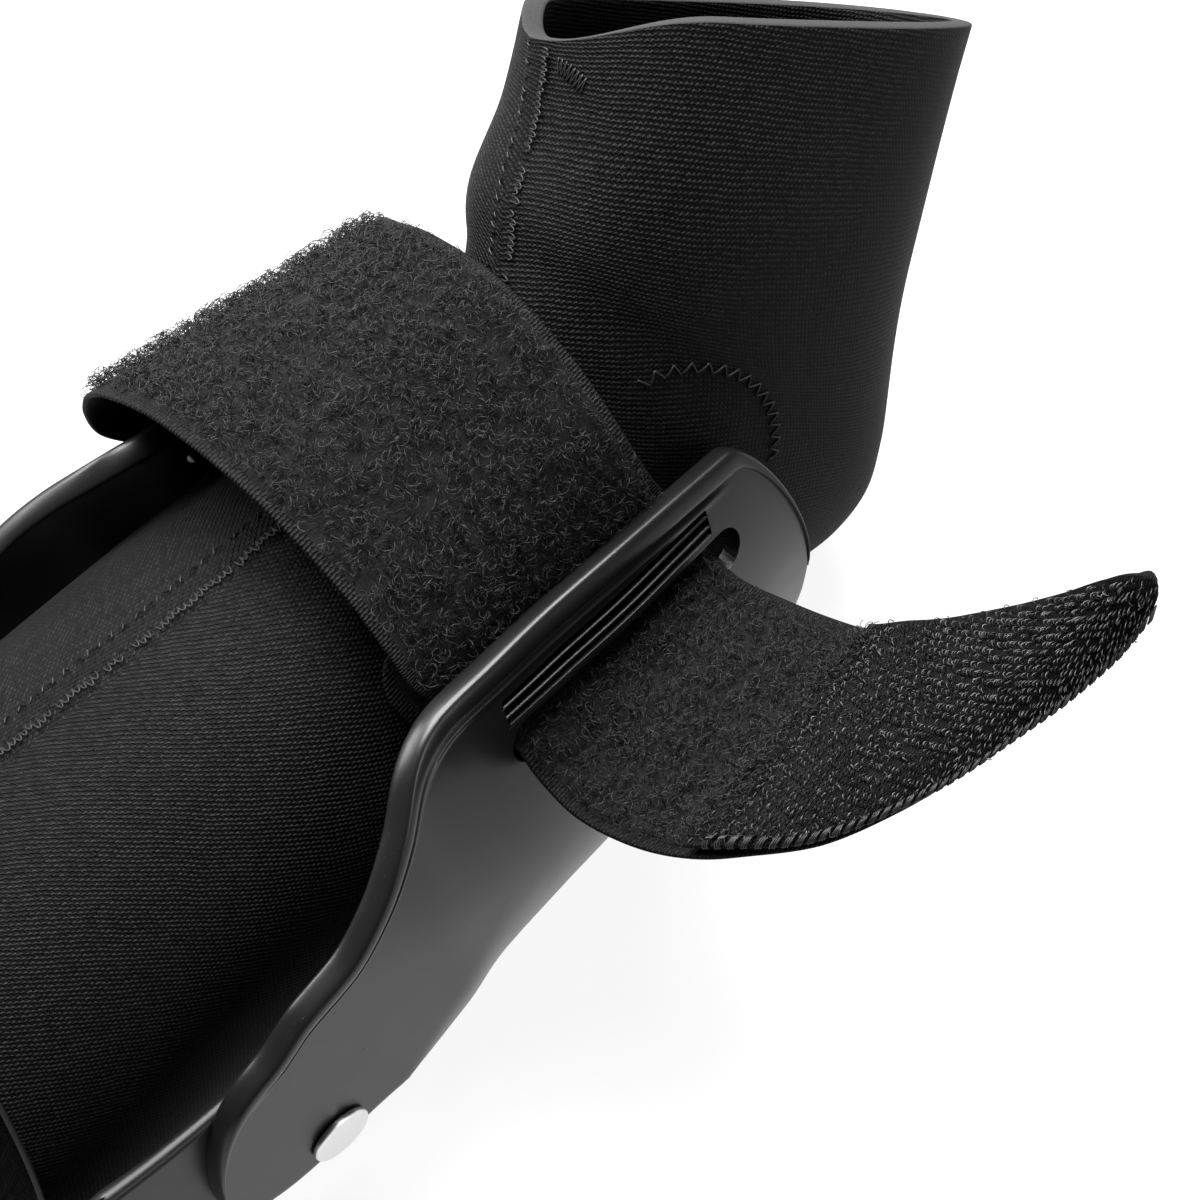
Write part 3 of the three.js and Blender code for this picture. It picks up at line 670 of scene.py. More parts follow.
# Side shells: a row for each value of x, for the right one. The left one mirrors it.
shell = {
    "x": [-24, -5, 5, 17, 27, 36, 45, 53, 66, 80, 95, 111, 126, 140],
    "side": [54, 54, 54, 54, 53.4, 52.8, 51.4, 50.6, 50, 49.4, 48, 45.4, 43, 41.3],
    "low": [-20, -20, -20, -6, 2, 8, 15, 19, 20, 20, 20, 20, 20, 20],
    "high": [40, 40, 42, 42, 36, 28, 24, 21, 20, 20, 20, 20, 20, 20],
    "rimY": [54, 54, 54, 53.9, 52, 48, 42.4, 39.6, 38.2, 36.4, 35.3, 34, 32.8, 31.6],
    "rimZ": [48, 46, 52, 56, 62, 67.5, 73, 74.5, 72.8, 70, 67, 63.4, 60, 57],
    "backY": [54, 54, 54, 53, 49, 43, 39, 38, 37, 36, 35, 34, 33, 33],
    "backZ": [-7, -7, -6.5, -8, -15, -24, -29, -31, -31, -31, -30.5, -29, -27, -25],
    "start": -24, "end": 140, "lowerLength": 21, "lowerZ": 6, "upperLength": 12, "upperZ": 10,
    "wall": 3.0, "bead": 4.3, "beadRise": 1.1, "groove": 4.7, "grooveDeep": 0.3, "ridge": 5.6, "ridgeHalf": 0.62,
    "ridgeRise": 0.42, "edgeRound": 1.1, "rearRound": 2.8, "rimPower": 3.4, "rimInside": 0.9, "rimDepth": 5.2,
    "grooveHalf": 0.35, "grooveFades": [(-12, 10), (126, 8)],
    "stations": 170, "columns": 110, "closeColumns": 66, "closeWidth": 24.0,
}
slits = {"startX": 64, "endX": 118, "belowStart": 8.2, "belowEnd": 6.6, "pitch": 2.1, "height": 1.1, "count": 3}
strapSlot = {"startX": 61.8, "endX": 123, "belowStart": 19, "belowEnd": 16.9, "height": 9}


def shellValue(key, x):
    rows = np.array(shell["x"], float)
    i = np.clip(np.searchsorted(rows, x, side="left") - 1, 0, len(rows) - 2)
    t = np.clip((x - rows[i]) / (rows[i + 1] - rows[i]), 0, 1)
    return spline(shell[key], i + t)


def shellEdges(x):
    rim, back = shellValue("rimZ", x), shellValue("backZ", x)
    below = np.maximum((shell["start"] + shell["lowerLength"] - x) / shell["lowerLength"], 0)
    above = np.maximum((x - shell["end"] + shell["upperLength"]) / shell["upperLength"], 0)
    past = np.where(below > 0, below, above)
    endZ = np.where(below > 0, shell["lowerZ"], shell["upperZ"])
    share = np.sqrt(np.maximum(1 - past * past, 0.0004))
    return lerp(endZ, rim, share), lerp(endZ, back, share)


def shellSide(x, z):
    side, high, low = shellValue("side", x), shellValue("high", x), shellValue("low", x)
    up = np.clip((z - high) / (shellValue("rimZ", x) - high), 0, None)
    down = np.clip((z - low) / (shellValue("backZ", x) - low), 0, None)
    upY = np.sqrt(np.maximum(side ** 2 - (side ** 2 - shellValue("rimY", x) ** 2) * up ** 2, 1))
    downY = np.sqrt(np.maximum(side ** 2 - (side ** 2 - shellValue("backY", x) ** 2) * down ** 2, 1))
    return np.where(z > high, upY, np.where(z < low, downY, side))


def shellOut(x, z):
    d = 0.5
    slopeX = (shellSide(x + d, z) - shellSide(x - d, z)) / (2 * d)
    slopeZ = (shellSide(x, z + d) - shellSide(x, z - d)) / (2 * d)
    return unit(np.stack([-slopeX, np.ones_like(slopeX), -slopeZ], -1))


def roundedPlate(outlineDistance, outer, inner, edgeRound, power=2.0):
    # Draws the two faces of a plate together at its edge, over the distance edgeRound.
    share = np.clip(outlineDistance / edgeRound, 0, 1)
    swell = (np.maximum(1 - (1 - share) ** power, 0) ** (1 / power))[..., None]
    middle = (outer + inner) / 2
    return middle + (outer - middle) * swell, middle + (inner - middle) * swell


def plateMesh(name, outer, inner, materials):
    rows, columns = outer.shape[:2]
    vertices = np.concatenate([outer.reshape(-1, 3), inner.reshape(-1, 3)])
    r, c = np.meshgrid(np.arange(rows - 1), np.arange(columns - 1), indexing="ij")
    base = (r * columns + c).ravel()
    face = np.stack([base, base + columns, base + columns + 1, base + 1], 1)
    faces = face.tolist() + (face[:, ::-1] + rows * columns).tolist()
    piece = meshObject(name, toPart(vertices), faces, materials)
    work = bmesh.new()
    work.from_mesh(piece.data)
    bmesh.ops.remove_doubles(work, verts=work.verts, dist=0.004 * mm)
    bmesh.ops.dissolve_degenerate(work, dist=0.002 * mm, edges=work.edges)
    bmesh.ops.recalc_face_normals(work, faces=work.faces)
    work.to_mesh(piece.data)
    work.free()
    return piece


def edgeDistance(x, z, outlineX, outlineZ):
    points = np.stack([x.ravel(), z.ravel()], 1)
    outline = np.stack([outlineX, outlineZ], 1)
    best = np.full(len(points), 1e9)
    for k in range(len(outline)):
        a, b = outline[k], outline[(k + 1) % len(outline)]
        ab = b - a
        t = np.clip(((points - a) @ ab) / max(ab @ ab, 1e-12), 0, 1)
        best = np.minimum(best, np.linalg.norm(points - (a + t[:, None] * ab), axis=1))
    return best.reshape(x.shape)


def cutStadium(plan, side):  # a cutter with rounded ends, through one shell
    startZ = float(shellValue("rimZ", np.array([plan["startX"]]))[0]) - plan["belowStart"]
    endZ = float(shellValue("rimZ", np.array([plan["endX"]]))[0]) - plan["belowEnd"]
    length = math.hypot(plan["endX"] - plan["startX"], endZ - startZ)
    radius = plan["height"] / 2
    corner = min(plan.get("corner", radius), radius)
    outline = []
    for cx, cz, turn in ((length - corner, -radius + corner, -90), (length - corner, radius - corner, 0),
                         (corner, radius - corner, 90), (corner, -radius + corner, 180)):
        for k in range(9):
            a = math.radians(turn + 90 * k / 8)
            outline.append((cx + corner * math.cos(a), cz + corner * math.sin(a)))
    tilt = math.atan2(endZ - startZ, plan["endX"] - plan["startX"])
    spin = np.array([[math.cos(tilt), -math.sin(tilt)], [math.sin(tilt), math.cos(tilt)]])
    flat = np.array(outline) @ spin.T + [plan["startX"], startZ]
    return prism(flat, 22 * side, 62 * side)


def prism(outline, near, far):  # a closed cutter with this outline in x and z, between two values of y
    n = len(outline)
    vertices = [(x, near, z) for x, z in outline] + [(x, far, z) for x, z in outline]
    faces = [tuple(range(n)), tuple(range(2 * n - 1, n - 1, -1))]
    faces += [(k, (k + 1) % n, n + (k + 1) % n, n + k) for k in range(n)]
    cutter = meshObject("cutter", toPart(vertices), faces, [], smooth=False)
    facesOut(cutter)
    return cutter


def cutPin(side, radius=3.3):
    turn = 2 * math.pi * np.arange(32) / 32
    return prism([(radius * math.cos(a), radius * math.sin(a)) for a in turn], 40 * side, 60 * side)


def subtract(piece, cutters):
    for cutter in cutters:
        cut = piece.modifiers.new("cut", "BOOLEAN")
        cut.operation, cut.solver, cut.object = "DIFFERENCE", "EXACT", cutter
        applyModifiers(piece)
        mesh = cutter.data
        bpy.data.objects.remove(cutter)
        bpy.data.meshes.remove(mesh)


def makeShell(name, side):
    stations, columns = shell["stations"], shell["columns"]
    t = np.linspace(0, 1, stations)
    x = lerp(shell["start"], shell["end"], t - np.sin(2 * math.pi * t) / (2 * math.pi) * 0.93)
    rim, back = shellEdges(x)
    # columns lie close together over the bead and the ridge beside it, and at the rear edge
    wide, close = shell["closeWidth"], shell["closeColumns"]
    fromRim = wide * (np.linspace(0, 1, close) ** 1.35)
    rest = np.linspace(0, 1, columns - close + 1)[1:]
    z = np.empty((stations, columns))
    for i in range(stations):
        tall = rim[i] - back[i]
        scale = min(1.0, 0.62 * tall / wide)
        upper = rim[i] - fromRim * scale
        z[i] = np.concatenate([upper, lerp(upper[-1], back[i], 1 - (1 - rest) ** 1.25)])
    xs = np.repeat(x[:, None], columns, 1)
    y = shellSide(xs.ravel(), z.ravel()).reshape(xs.shape)
    out = shellOut(xs.ravel(), z.ravel()).reshape(*xs.shape, 3)
    base = np.stack([xs, y, z], -1)
    depth = rim[:, None] - z
    edge = edgeDistance(xs, z, np.concatenate([x, x[::-1]]), np.concatenate([rim, back[::-1]]))
    u = np.clip(depth / shell["bead"], 0, 1)
    bead = shell["beadRise"] * np.sqrt(np.maximum(1 - (2 * u - 1) ** 2, 0)) ** 0.8
    ridge = shell["ridgeRise"] * np.exp(-((depth - shell["ridge"]) / shell["ridgeHalf"]) ** 2)
    groove = -shell["grooveDeep"] * np.exp(-((depth - shell["groove"]) / shell["grooveHalf"]) ** 2)
    # groove and ridge fade in over (start, length) at the round end and out towards the other end
    (fadeIn, inLength), (fadeOut, outLength) = shell["grooveFades"]
    panelEnd = (np.clip((x - fadeIn) / inLength, 0, 1) * np.clip((fadeOut - x) / outLength, 0, 1))[:, None]
    lift = bead + (ridge + groove) * panelEnd
    # inside, a thin step follows the rim
    step = shell["rimInside"] * np.clip((shell["rimDepth"] - depth) / 0.6, 0, 1)
    outer = base + out * lift[..., None]
    inner = base - out * (shell["wall"] + step[..., None])
    fromRear = np.clip((z - back[:, None]) / np.maximum(rim - back, 1)[:, None], 0, 1)
    rounding = lerp(shell["rearRound"], shell["edgeRound"], np.clip(fromRear * 4 - 1, 0, 1))
    outer, inner = roundedPlate(edge, outer, inner, rounding, shell["rimPower"])
    if side < 0:
        outer, inner = outer * [1, -1, 1], inner * [1, -1, 1]
    piece = plateMesh(name, outer, inner, [shellPlastic])
    zone = {"startX": slits["startX"], "endX": slits["endX"], "height": 2 * slits["pitch"] + slits["height"],
            "belowStart": slits["belowStart"] + slits["pitch"], "belowEnd": slits["belowEnd"] + slits["pitch"],
            "corner": 0.55}
    subtract(piece, [cutStadium(zone, side), cutStadium(strapSlot, side), cutPin(side)])
    sharpAbove(piece, 38)
    return piece


def makeRibs(name, side):  # rounded ribs between the slits, and the rounded lip above the strap slot
    count, around = 60, 12
    t = np.linspace(0, 1, count)
    x = lerp(slits["startX"] - 0.8, slits["endX"] + 0.8, t)
    rimStart = float(shellValue("rimZ", np.array([slits["startX"]]))[0])
    rimEnd = float(shellValue("rimZ", np.array([slits["endX"]]))[0])
    along = (x - slits["startX"]) / (slits["endX"] - slits["startX"])
    vertices, faces = [], []
    for k in range(3):
        down = (k + 0.5) * slits["pitch"] if k < 2 else 2 * slits["pitch"] + 1.17
        thick = 0.42 if k < 2 else 0.55
        z = lerp(rimStart - slits["belowStart"], rimEnd - slits["belowEnd"], along) - down
        y = shellSide(x, z)
        out = shellOut(x, z)
        base = np.stack([x, y, z], -1) - out * (shell["wall"] / 2)
        line = unit(np.gradient(base, axis=0))
        wideways = unit(np.cross(line, out))
        turn = 2 * math.pi * np.arange(around) / around
        ring = (out[:, None] * (np.cos(turn)[None, :, None] * shell["wall"] * 0.53)
                + wideways[:, None] * (np.sin(turn)[None, :, None] * thick))
        points = (base[:, None] + ring).reshape(-1, 3)
        start = len(vertices)
        vertices += points.tolist()
        for s in range(count - 1):
            for c in range(around):
                d = (c + 1) % around
                a = start + s * around
                faces.append((a + c, a + d, a + around + d, a + around + c))
        faces.append(tuple(range(start + around - 1, start - 1, -1)))
        faces.append(tuple(range(start + (count - 1) * around, start + count * around)))
    points = np.array(vertices) * [1, side, 1]
    piece = meshObject(name, toPart(points), faces, [shellPlastic])
    facesOut(piece)
    return piece


shellPieces = {}
for sideName, side in (("left", 1), ("right", -1)):
    shellPieces[sideName] = makeShell(f"shell_{sideName}_moulding", side)
    shellPieces[sideName + "Ribs"] = makeRibs(f"shell_{sideName}_ribs", side)
print("shells made", len(shellPieces["right"].data.polygons))


stirrup = {"sole": -87, "soleWall": 3.6, "wall": 3.0, "corner": 14, "floor": -31, "eyeZ": 5, "eyeRadius": 14,
           "waistX": -36, "eyeFront": (1, 38), "frontEdge": (-37, 43), "heelFrontZ": 46, "outer": 50.7,
           "lipWide": 2.6, "lipRise": 0.5, "lipEnd": -28, "lipFade": 8, "edgeRound": 1.3, "rows": 150, "columns": 70}


def quadratic(a, b, c, steps):
    t = np.linspace(0, 1, steps)[:, None]
    a, b, c = np.array(a, float), np.array(b, float), np.array(c, float)
    return (1 - t) ** 2 * a + 2 * t * (1 - t) * b + t ** 2 * c


def makeStirrup():
    s = stirrup
    r = s["eyeRadius"]
    low = [(s["sole"] - s["soleWall"], s["floor"]), (s["waistX"], s["floor"])]
    curve = quadratic(low[-1], (s["waistX"] / 2, s["eyeZ"] - r), (0, s["eyeZ"] - r), 30)
    turn = np.radians(np.linspace(-90, 0, 30))
    arc = np.stack([r * np.cos(turn), s["eyeZ"] + r * np.sin(turn)], 1)
    lower = np.concatenate([[low[0]], curve, arc[1:]])
    rise = quadratic((r, s["eyeZ"]), (r, s["eyeFront"][1] - 6), s["eyeFront"], 30)
    top = quadratic(s["eyeFront"], (s["frontEdge"][0] / 3, s["eyeFront"][1] - 3), s["frontEdge"], 20)
    upper = np.concatenate([rise, top[1:], [(s["sole"] - s["soleWall"], s["heelFrontZ"])]])[::-1]
    # flat pattern: distance along the band from the middle of the sole to the end of an arm
    midWall = s["wall"] / 2
    midRadius = s["corner"] - midWall
    solePlane = s["sole"] - s["soleWall"] / 2
    armY = s["outer"] - midWall
    half = armY - midRadius
    bendLength = math.pi / 2 * midRadius
    bendX = solePlane + midRadius
    armLength = r - bendX
    total = half + bendLength + armLength
    t = np.linspace(0, 1, s["rows"])
    run = total * (t + 0.35 * np.sin(math.pi * t) / math.pi)
    run = run / run[-1] * total
    spots = np.concatenate([-run[::-1], run[1:]])

    def bandPoint(distance):
        d = abs(distance)
        sign = 1 if distance >= 0 else -1
        if d < half:
            return solePlane, sign * d, -1.0, 0.0
        if d < half + bendLength:
            a = (d - half) / midRadius
            return (bendX - midRadius * math.cos(a), sign * (half + midRadius * math.sin(a)),
                    -math.cos(a), sign * math.sin(a))
        return bendX + d - half - bendLength, sign * armY, 0.0, float(sign)

    columns = s["columns"]
    u = np.linspace(0, 1, columns)
    u = u - 0.8 * np.sin(2 * math.pi * u) / (2 * math.pi)
    rows = len(spots)
    mid, normal = np.zeros((2, rows, 3))
    flatX, zs = np.zeros((2, rows, columns))
    for i, distance in enumerate(spots):
        x, y, nx, ny = bandPoint(distance)
        shapeX = bendX + abs(distance) - half - bendLength if abs(distance) > half + bendLength else solePlane
        shapeX = min(shapeX, r - 0.004)
        lowZ = np.interp(shapeX, lower[:, 0], lower[:, 1])
        highZ = np.interp(shapeX, upper[:, 0], upper[:, 1])
        zs[i] = lerp(lowZ, highZ, u)
        mid[i], normal[i] = (x, y, 0), (nx, ny, 0)
        flatX[i] = abs(distance)
    reach = half + bendLength
    outline = [(0.0 if k == 0 else x - bendX + reach, z) for k, (x, z) in enumerate(lower)]
    outline += [(x - bendX + reach, z) for x, z in upper[::-1][:-1]] + [(0.0, s["heelFrontZ"])]
    outline = np.array(outline)
    outlineBoth = np.concatenate([outline, outline[::-1] * [-1, 1]])
    edge = edgeDistance(flatX, zs, outlineBoth[:, 0], outlineBoth[:, 1])
    points = mid[:, None] + np.stack([np.zeros_like(zs), np.zeros_like(zs), zs], -1)
    normals = np.repeat(normal[:, None], columns, 1)
    thick = np.where(flatX < half, s["soleWall"], s["wall"])[..., None]
    # the lip inside the heel fades out before the arms, which pass close to the sleeve
    lipOn = np.clip((s["lipEnd"] - (flatX - reach + bendX)) / s["lipFade"], 0, 1)
    lip = np.exp(-((edge - s["lipWide"] / 2) / (s["lipWide"] / 2.2)) ** 2) * s["lipRise"] * lipOn
    outer = points + normals * thick / 2
    inner = points - normals * (thick / 2 + lip[..., None])
    outer, inner = roundedPlate(edge, outer, inner, s["edgeRound"])
    piece = plateMesh("stirrup_moulding", outer, inner, [stirrupPlastic])
    subtract(piece, [cutPin(1), cutPin(-1)])
    sharpAbove(piece, 40)
    return piece


stirrupPiece = makeStirrup()
print("stirrup made", len(stirrupPiece.data.polygons))


rivet = {"foot": 47.4, "headBase": 54.3, "head": 6.25, "headRise": 1.5, "headEdge": 0.25, "shank": 3.0,
         "footRadius": 5.4, "footThick": 1.3, "facets": 64}


def makeRivet(name, side):
    # half profile as radius and height, from the foot's middle to the head's middle
    foot, head, rise, edge = rivet["foot"], rivet["headBase"], rivet["headRise"], rivet["headEdge"]
    footEnd, rim = foot - rivet["footThick"], rivet["head"] - edge
    profile = [(0, footEnd), (4.6, footEnd)]
    profile += [(4.9 + 0.5 * math.sin(a), footEnd + 0.5 - 0.5 * math.cos(a))
                for a in np.linspace(0.2, math.pi / 2, 5)]
    profile += [(rivet["footRadius"], foot), (rivet["shank"], foot), (rivet["shank"], head), (rim, head)]
    profile += [(rim + edge * math.sin(a), head + edge - edge * math.cos(a)) for a in np.linspace(0.3, math.pi / 2, 4)]
    flat = rivet["head"] - 0.55
    profile += [(flat + 0.55 * math.cos(a), head + rise - 0.75 + 0.5 * math.sin(a))
                for a in np.linspace(0, math.pi / 2, 7)]
    profile += [(flat * (1 - k / 12), head + rise - 0.25 * (1 - k / 12) ** 2) for k in range(1, 12)]
    profile += [(0, head + rise)]
    n = rivet["facets"]
    turn = 2 * math.pi * np.arange(n) / n
    vertices, faces, ringStart = [], [], []
    for radius, y in profile:
        ringStart.append(len(vertices))
        if radius == 0:
            vertices.append((0, y * side, 0))
        else:
            vertices += [(radius * math.cos(a), y * side, radius * math.sin(a)) for a in turn]
    for k in range(len(profile) - 1):
        a, b = ringStart[k], ringStart[k + 1]
        for c in range(n):
            d = (c + 1) % n
            if profile[k][0] == 0:
                faces.append((a, b + c, b + d))
            elif profile[k + 1][0] == 0:
                faces.append((a + c, b, a + d))
            else:
                faces.append((a + c, b + c, b + d, a + d))
    piece = meshObject(name, toPart(vertices), faces, [polishedSteel])
    facesOut(piece)
    sharpAbove(piece, 40)
    return piece


rivetPieces = {"left": makeRivet("rivet_left_steel", 1), "right": makeRivet("rivet_right_steel", -1)}


# Strap: its wrapped part follows the sleeve between two angles and two shares of the sleeve's rows. The
# near and far lines give its two edges after that, out of one slot, over the front and out of the other.
strap = {
    "fromDeg": 37, "toDeg": 297, "nearFrom": 0.278, "nearTo": 0.322, "farFrom": 0.5, "farTo": 0.535, "wrapRows": 18,
    "lift": 1.8, "thick": 2.2, "bed": 1.05, "selvage": 2.3, "across": 9,
    "near": [(62.5, 43.5, 53.8), (57.5, 50.5, 55.5), (52.5, 54.8, 61), (51.5, 54.8, 70), (52, 50, 80), (53, 42, 86.5),
             (54.5, 27, 92), (55.5, 5, 92), (55.5, -15, 85), (54.5, -27, 78.5), (54.5, -33, 71.5), (58, -36.8, 64),
             (62, -40, 57), (63, -45, 53.6), (62.5, -51.5, 49.6), (62.5, -60, 48), (64.5, -71, 51),
             (67.5, -81.5, 58), (73, -89.5, 62), (83, -98, 63), (96, -104.5, 66), (109, -109.5, 71.5),
             (121, -114, 80), (130, -117, 88.5), (136, -118.6, 96)],
    "far": [(117.5, 38.6, 44.6), (118, 45, 48.5), (118.5, 49.5, 56), (118.5, 49, 65), (117, 44, 72.5),
            (115.5, 36, 79.5), (114.5, 24, 87.5), (113.5, 5, 93), (113, -12, 87), (112.5, -22.5, 78),
            (113.5, -28.3, 65.5), (115.5, -31.4, 56.5), (117, -34.6, 48.8), (117, -40, 44.8), (116.5, -47, 45.5),
            (116, -57, 52), (117, -68.5, 57.5), (118.5, -78, 63), (122, -84.5, 68), (127, -92, 73),
            (131, -100, 82), (134, -106.5, 91), (136.5, -111, 98.5), (138.5, -114, 103), (140, -116.6, 103.5)],
    "startRound": 8.0, "tipRound": 4.0, "farTaper": 1.6,
    "hookFrom": 17, "hookThick": 1.3, "hookGap": 0.45, "hookInset": 0.6,
}


def strapTable():
    share = np.linspace(0, 1, strap["across"])
    rows = []
    for r in range(strap["wrapRows"]):
        part = r / (strap["wrapRows"] - 1)
        near, far = lerp(strap["nearFrom"], strap["nearTo"], part), lerp(strap["farFrom"], strap["farTo"], part)
        rows.append(sleevePoints(lerp(near, far, share) * sleeveLast, lerp(strap["fromDeg"], strap["toDeg"], part),
                                 strap["lift"]))
    for near, far in zip(strap["near"], strap["far"]):
        rows.append(lerp(np.array(near, float), np.array(far, float), share[:, None]))
    return np.array(rows)


strapRows = strapTable()
strapLast = len(strapRows) - 1


def strapMiddle(row, across):  # middle surface at fractional rows and shares of the width
    row, across = np.broadcast_arrays(np.asarray(row, float), np.asarray(across, float))
    lanes = spline(strapRows, row.ravel())
    spot = np.clip(across.ravel(), 0, 1) * (strap["across"] - 1)
    i = np.minimum(spot.astype(int), strap["across"] - 2)
    t = (spot - i)[:, None]
    k = np.arange(len(spot))
    return lerp(lanes[k, i], lanes[k, i + 1], t).reshape(*row.shape, 3)


def strapWidth(rows):  # width of the strap at each of these rows
    rows = np.atleast_1d(np.asarray(rows, float))
    return np.linalg.norm(strapMiddle(rows, np.ones_like(rows)) - strapMiddle(rows, np.zeros_like(rows)), axis=-1)


def strapFrame(row, across):
    row, across = np.broadcast_arrays(np.asarray(row, float), np.asarray(across, float))
    d = 0.04
    here = strapMiddle(row, across)
    along = strapMiddle(np.minimum(row + d, strapLast), across) - strapMiddle(np.maximum(row - d, 0), across)
    wide = strapMiddle(row, np.ones_like(across)) - strapMiddle(row, np.zeros_like(across))
    normal = unit(np.cross(along, wide))
    return here, unit(along), unit(wide), normal


def evenRows(start, end, count):  # row numbers evenly spaced in length along the strap's middle line
    fine = np.linspace(start, end, 1200)
    line = strapMiddle(fine, np.full(1200, 0.5))
    run = lengthAlong(line)
    return np.interp(np.linspace(0, run[-1], count), run, fine), run[-1]


def cornerInset(distance, radius):  # how far a rounded corner draws a side in, at a distance from the end
    short = np.clip(radius - distance, 0, radius)
    return radius - np.sqrt(np.maximum(radius ** 2 - short ** 2, 0))


def bandMesh(name, rows, low, high, inset, columns, edgeRound, materials, waviness=None, startRound=0.0,
             farTaper=0.0):
    # Flat band between two offsets from the strap's middle surface, closed by rounded edges.
    u = np.linspace(0, 1, columns)
    u = u - 0.75 * np.sin(2 * math.pi * u) / (2 * math.pi)
    rowGrid, acrossGrid = np.meshgrid(rows, u, indexing="ij")
    width = strapWidth(rows)
    line = strapMiddle(rows, np.full(len(rows), 0.5))
    run = lengthAlong(line)
    tip = cornerInset(run[-1] - run, np.minimum(strap["tipRound"], width / 2 - inset - 0.4))
    nearIn = inset + tip + cornerInset(run, startRound)
    farIn = inset + tip + farTaper * np.clip((run - run[-1] + 50) / 50, 0, 1)
    across = lerp((nearIn / width)[:, None], 1 - (farIn / width)[:, None], acrossGrid)
    here, along, wide, normal = strapFrame(rowGrid, across)
    fromEdge = np.minimum(acrossGrid, 1 - acrossGrid) * (width - nearIn - farIn)[:, None]
    fromEnd = np.minimum(run, run[-1] - run)[:, None]
    edge = np.minimum(fromEdge, fromEnd)
    lift = 0 if waviness is None else waviness(run[:, None], acrossGrid * width[:, None], fromEdge)
    top = here + normal * (high + np.asarray(lift)[..., None])
    bottom = here + normal * low
    top, bottom = roundedPlate(edge, top, bottom, edgeRound)
    piece = plateMesh(name, top, bottom, materials)
    # the weave follows the band: length along, distance across, and the side of the band
    corners = np.concatenate([top.reshape(-1, 3), bottom.reshape(-1, 3)])
    values = np.stack([np.broadcast_to(run[:, None], across.shape), acrossGrid * width[:, None], fromEdge], -1) * mm
    both = np.concatenate([values.reshape(-1, 3), values.reshape(-1, 3)])
    lookUp = {tuple(np.round(p, 6)): v for p, v in zip(toPart(corners), both)}
    found = np.zeros((len(piece.data.vertices), 3))
    for k, vertex in enumerate(piece.data.vertices):
        found[k] = lookUp.get(tuple(np.round(np.array(vertex.co), 6)), found[k - 1])
    pointVectors(piece, "weave", found)
    return piece, width, run


tapeStart = strap["wrapRows"] + strap["hookFrom"]
tapeTop = strap["thick"] / 2 + strap["hookGap"] + strap["hookThick"]
strapRowsFine, strapLength = evenRows(0, strapLast, 420)


def strapBand():
    low = -strap["thick"] / 2
    high = low + strap["bed"]

    def lumps(run, across, fromEdge):
        pile = np.clip((fromEdge - strap["selvage"]) / 1.2, 0, 1)
        return 0.35 * pile * (0.6 + 0.4 * np.sin(run / 1.9 + 2 * np.sin(across / 3.1)) * np.sin(across / 1.7))

    piece, width, run = bandMesh("strap_band", strapRowsFine, low, high, 0.0, 44, 0.6, [strapWeave, pileBed], lumps,
                                 strap["startRound"], strap["farTaper"])
    # the outer face is the one that looks along the band's normal
    mesh = piece.data
    values = np.zeros(len(mesh.vertices) * 3)
    mesh.attributes["weave"].data.foreach_get("vector", values)
    values = values.reshape(-1, 3) / mm
    centreRun = np.array([values[list(p.vertices)].mean(0) for p in mesh.polygons])
    rowAt = np.interp(centreRun[:, 0], run, strapRowsFine)
    widthAt = np.interp(centreRun[:, 0], run, width)
    _, _, _, normal = strapFrame(rowAt, np.clip(centreRun[:, 1] / widthAt, 0, 1))
    faceNormals = np.array([tuple(p.normal) for p in mesh.polygons])
    outward = (faceNormals * normal).sum(1) > 0.5
    pile = outward & (centreRun[:, 2] > strap["selvage"])
    mesh.polygons.foreach_set("material_index", pile.astype(int).tolist())
    return piece


strapPiece = strapBand()
print("strap made", len(strapPiece.data.polygons), "length", round(strapLength, 1))

# Loops of the pile, sizes in millimetres and densities in loops per square millimetre.
loops = {"steps": 7, "radius": 0.072 * mm, "sizeLow": 0.8, "sizeHigh": 1.4, "rise": 1.25, "fray": 0.5,
         "dense": 1.0, "sparse": 0.14, "matted": 1.6, "mattedSize": 0.7, "tailEnd": 35.05}


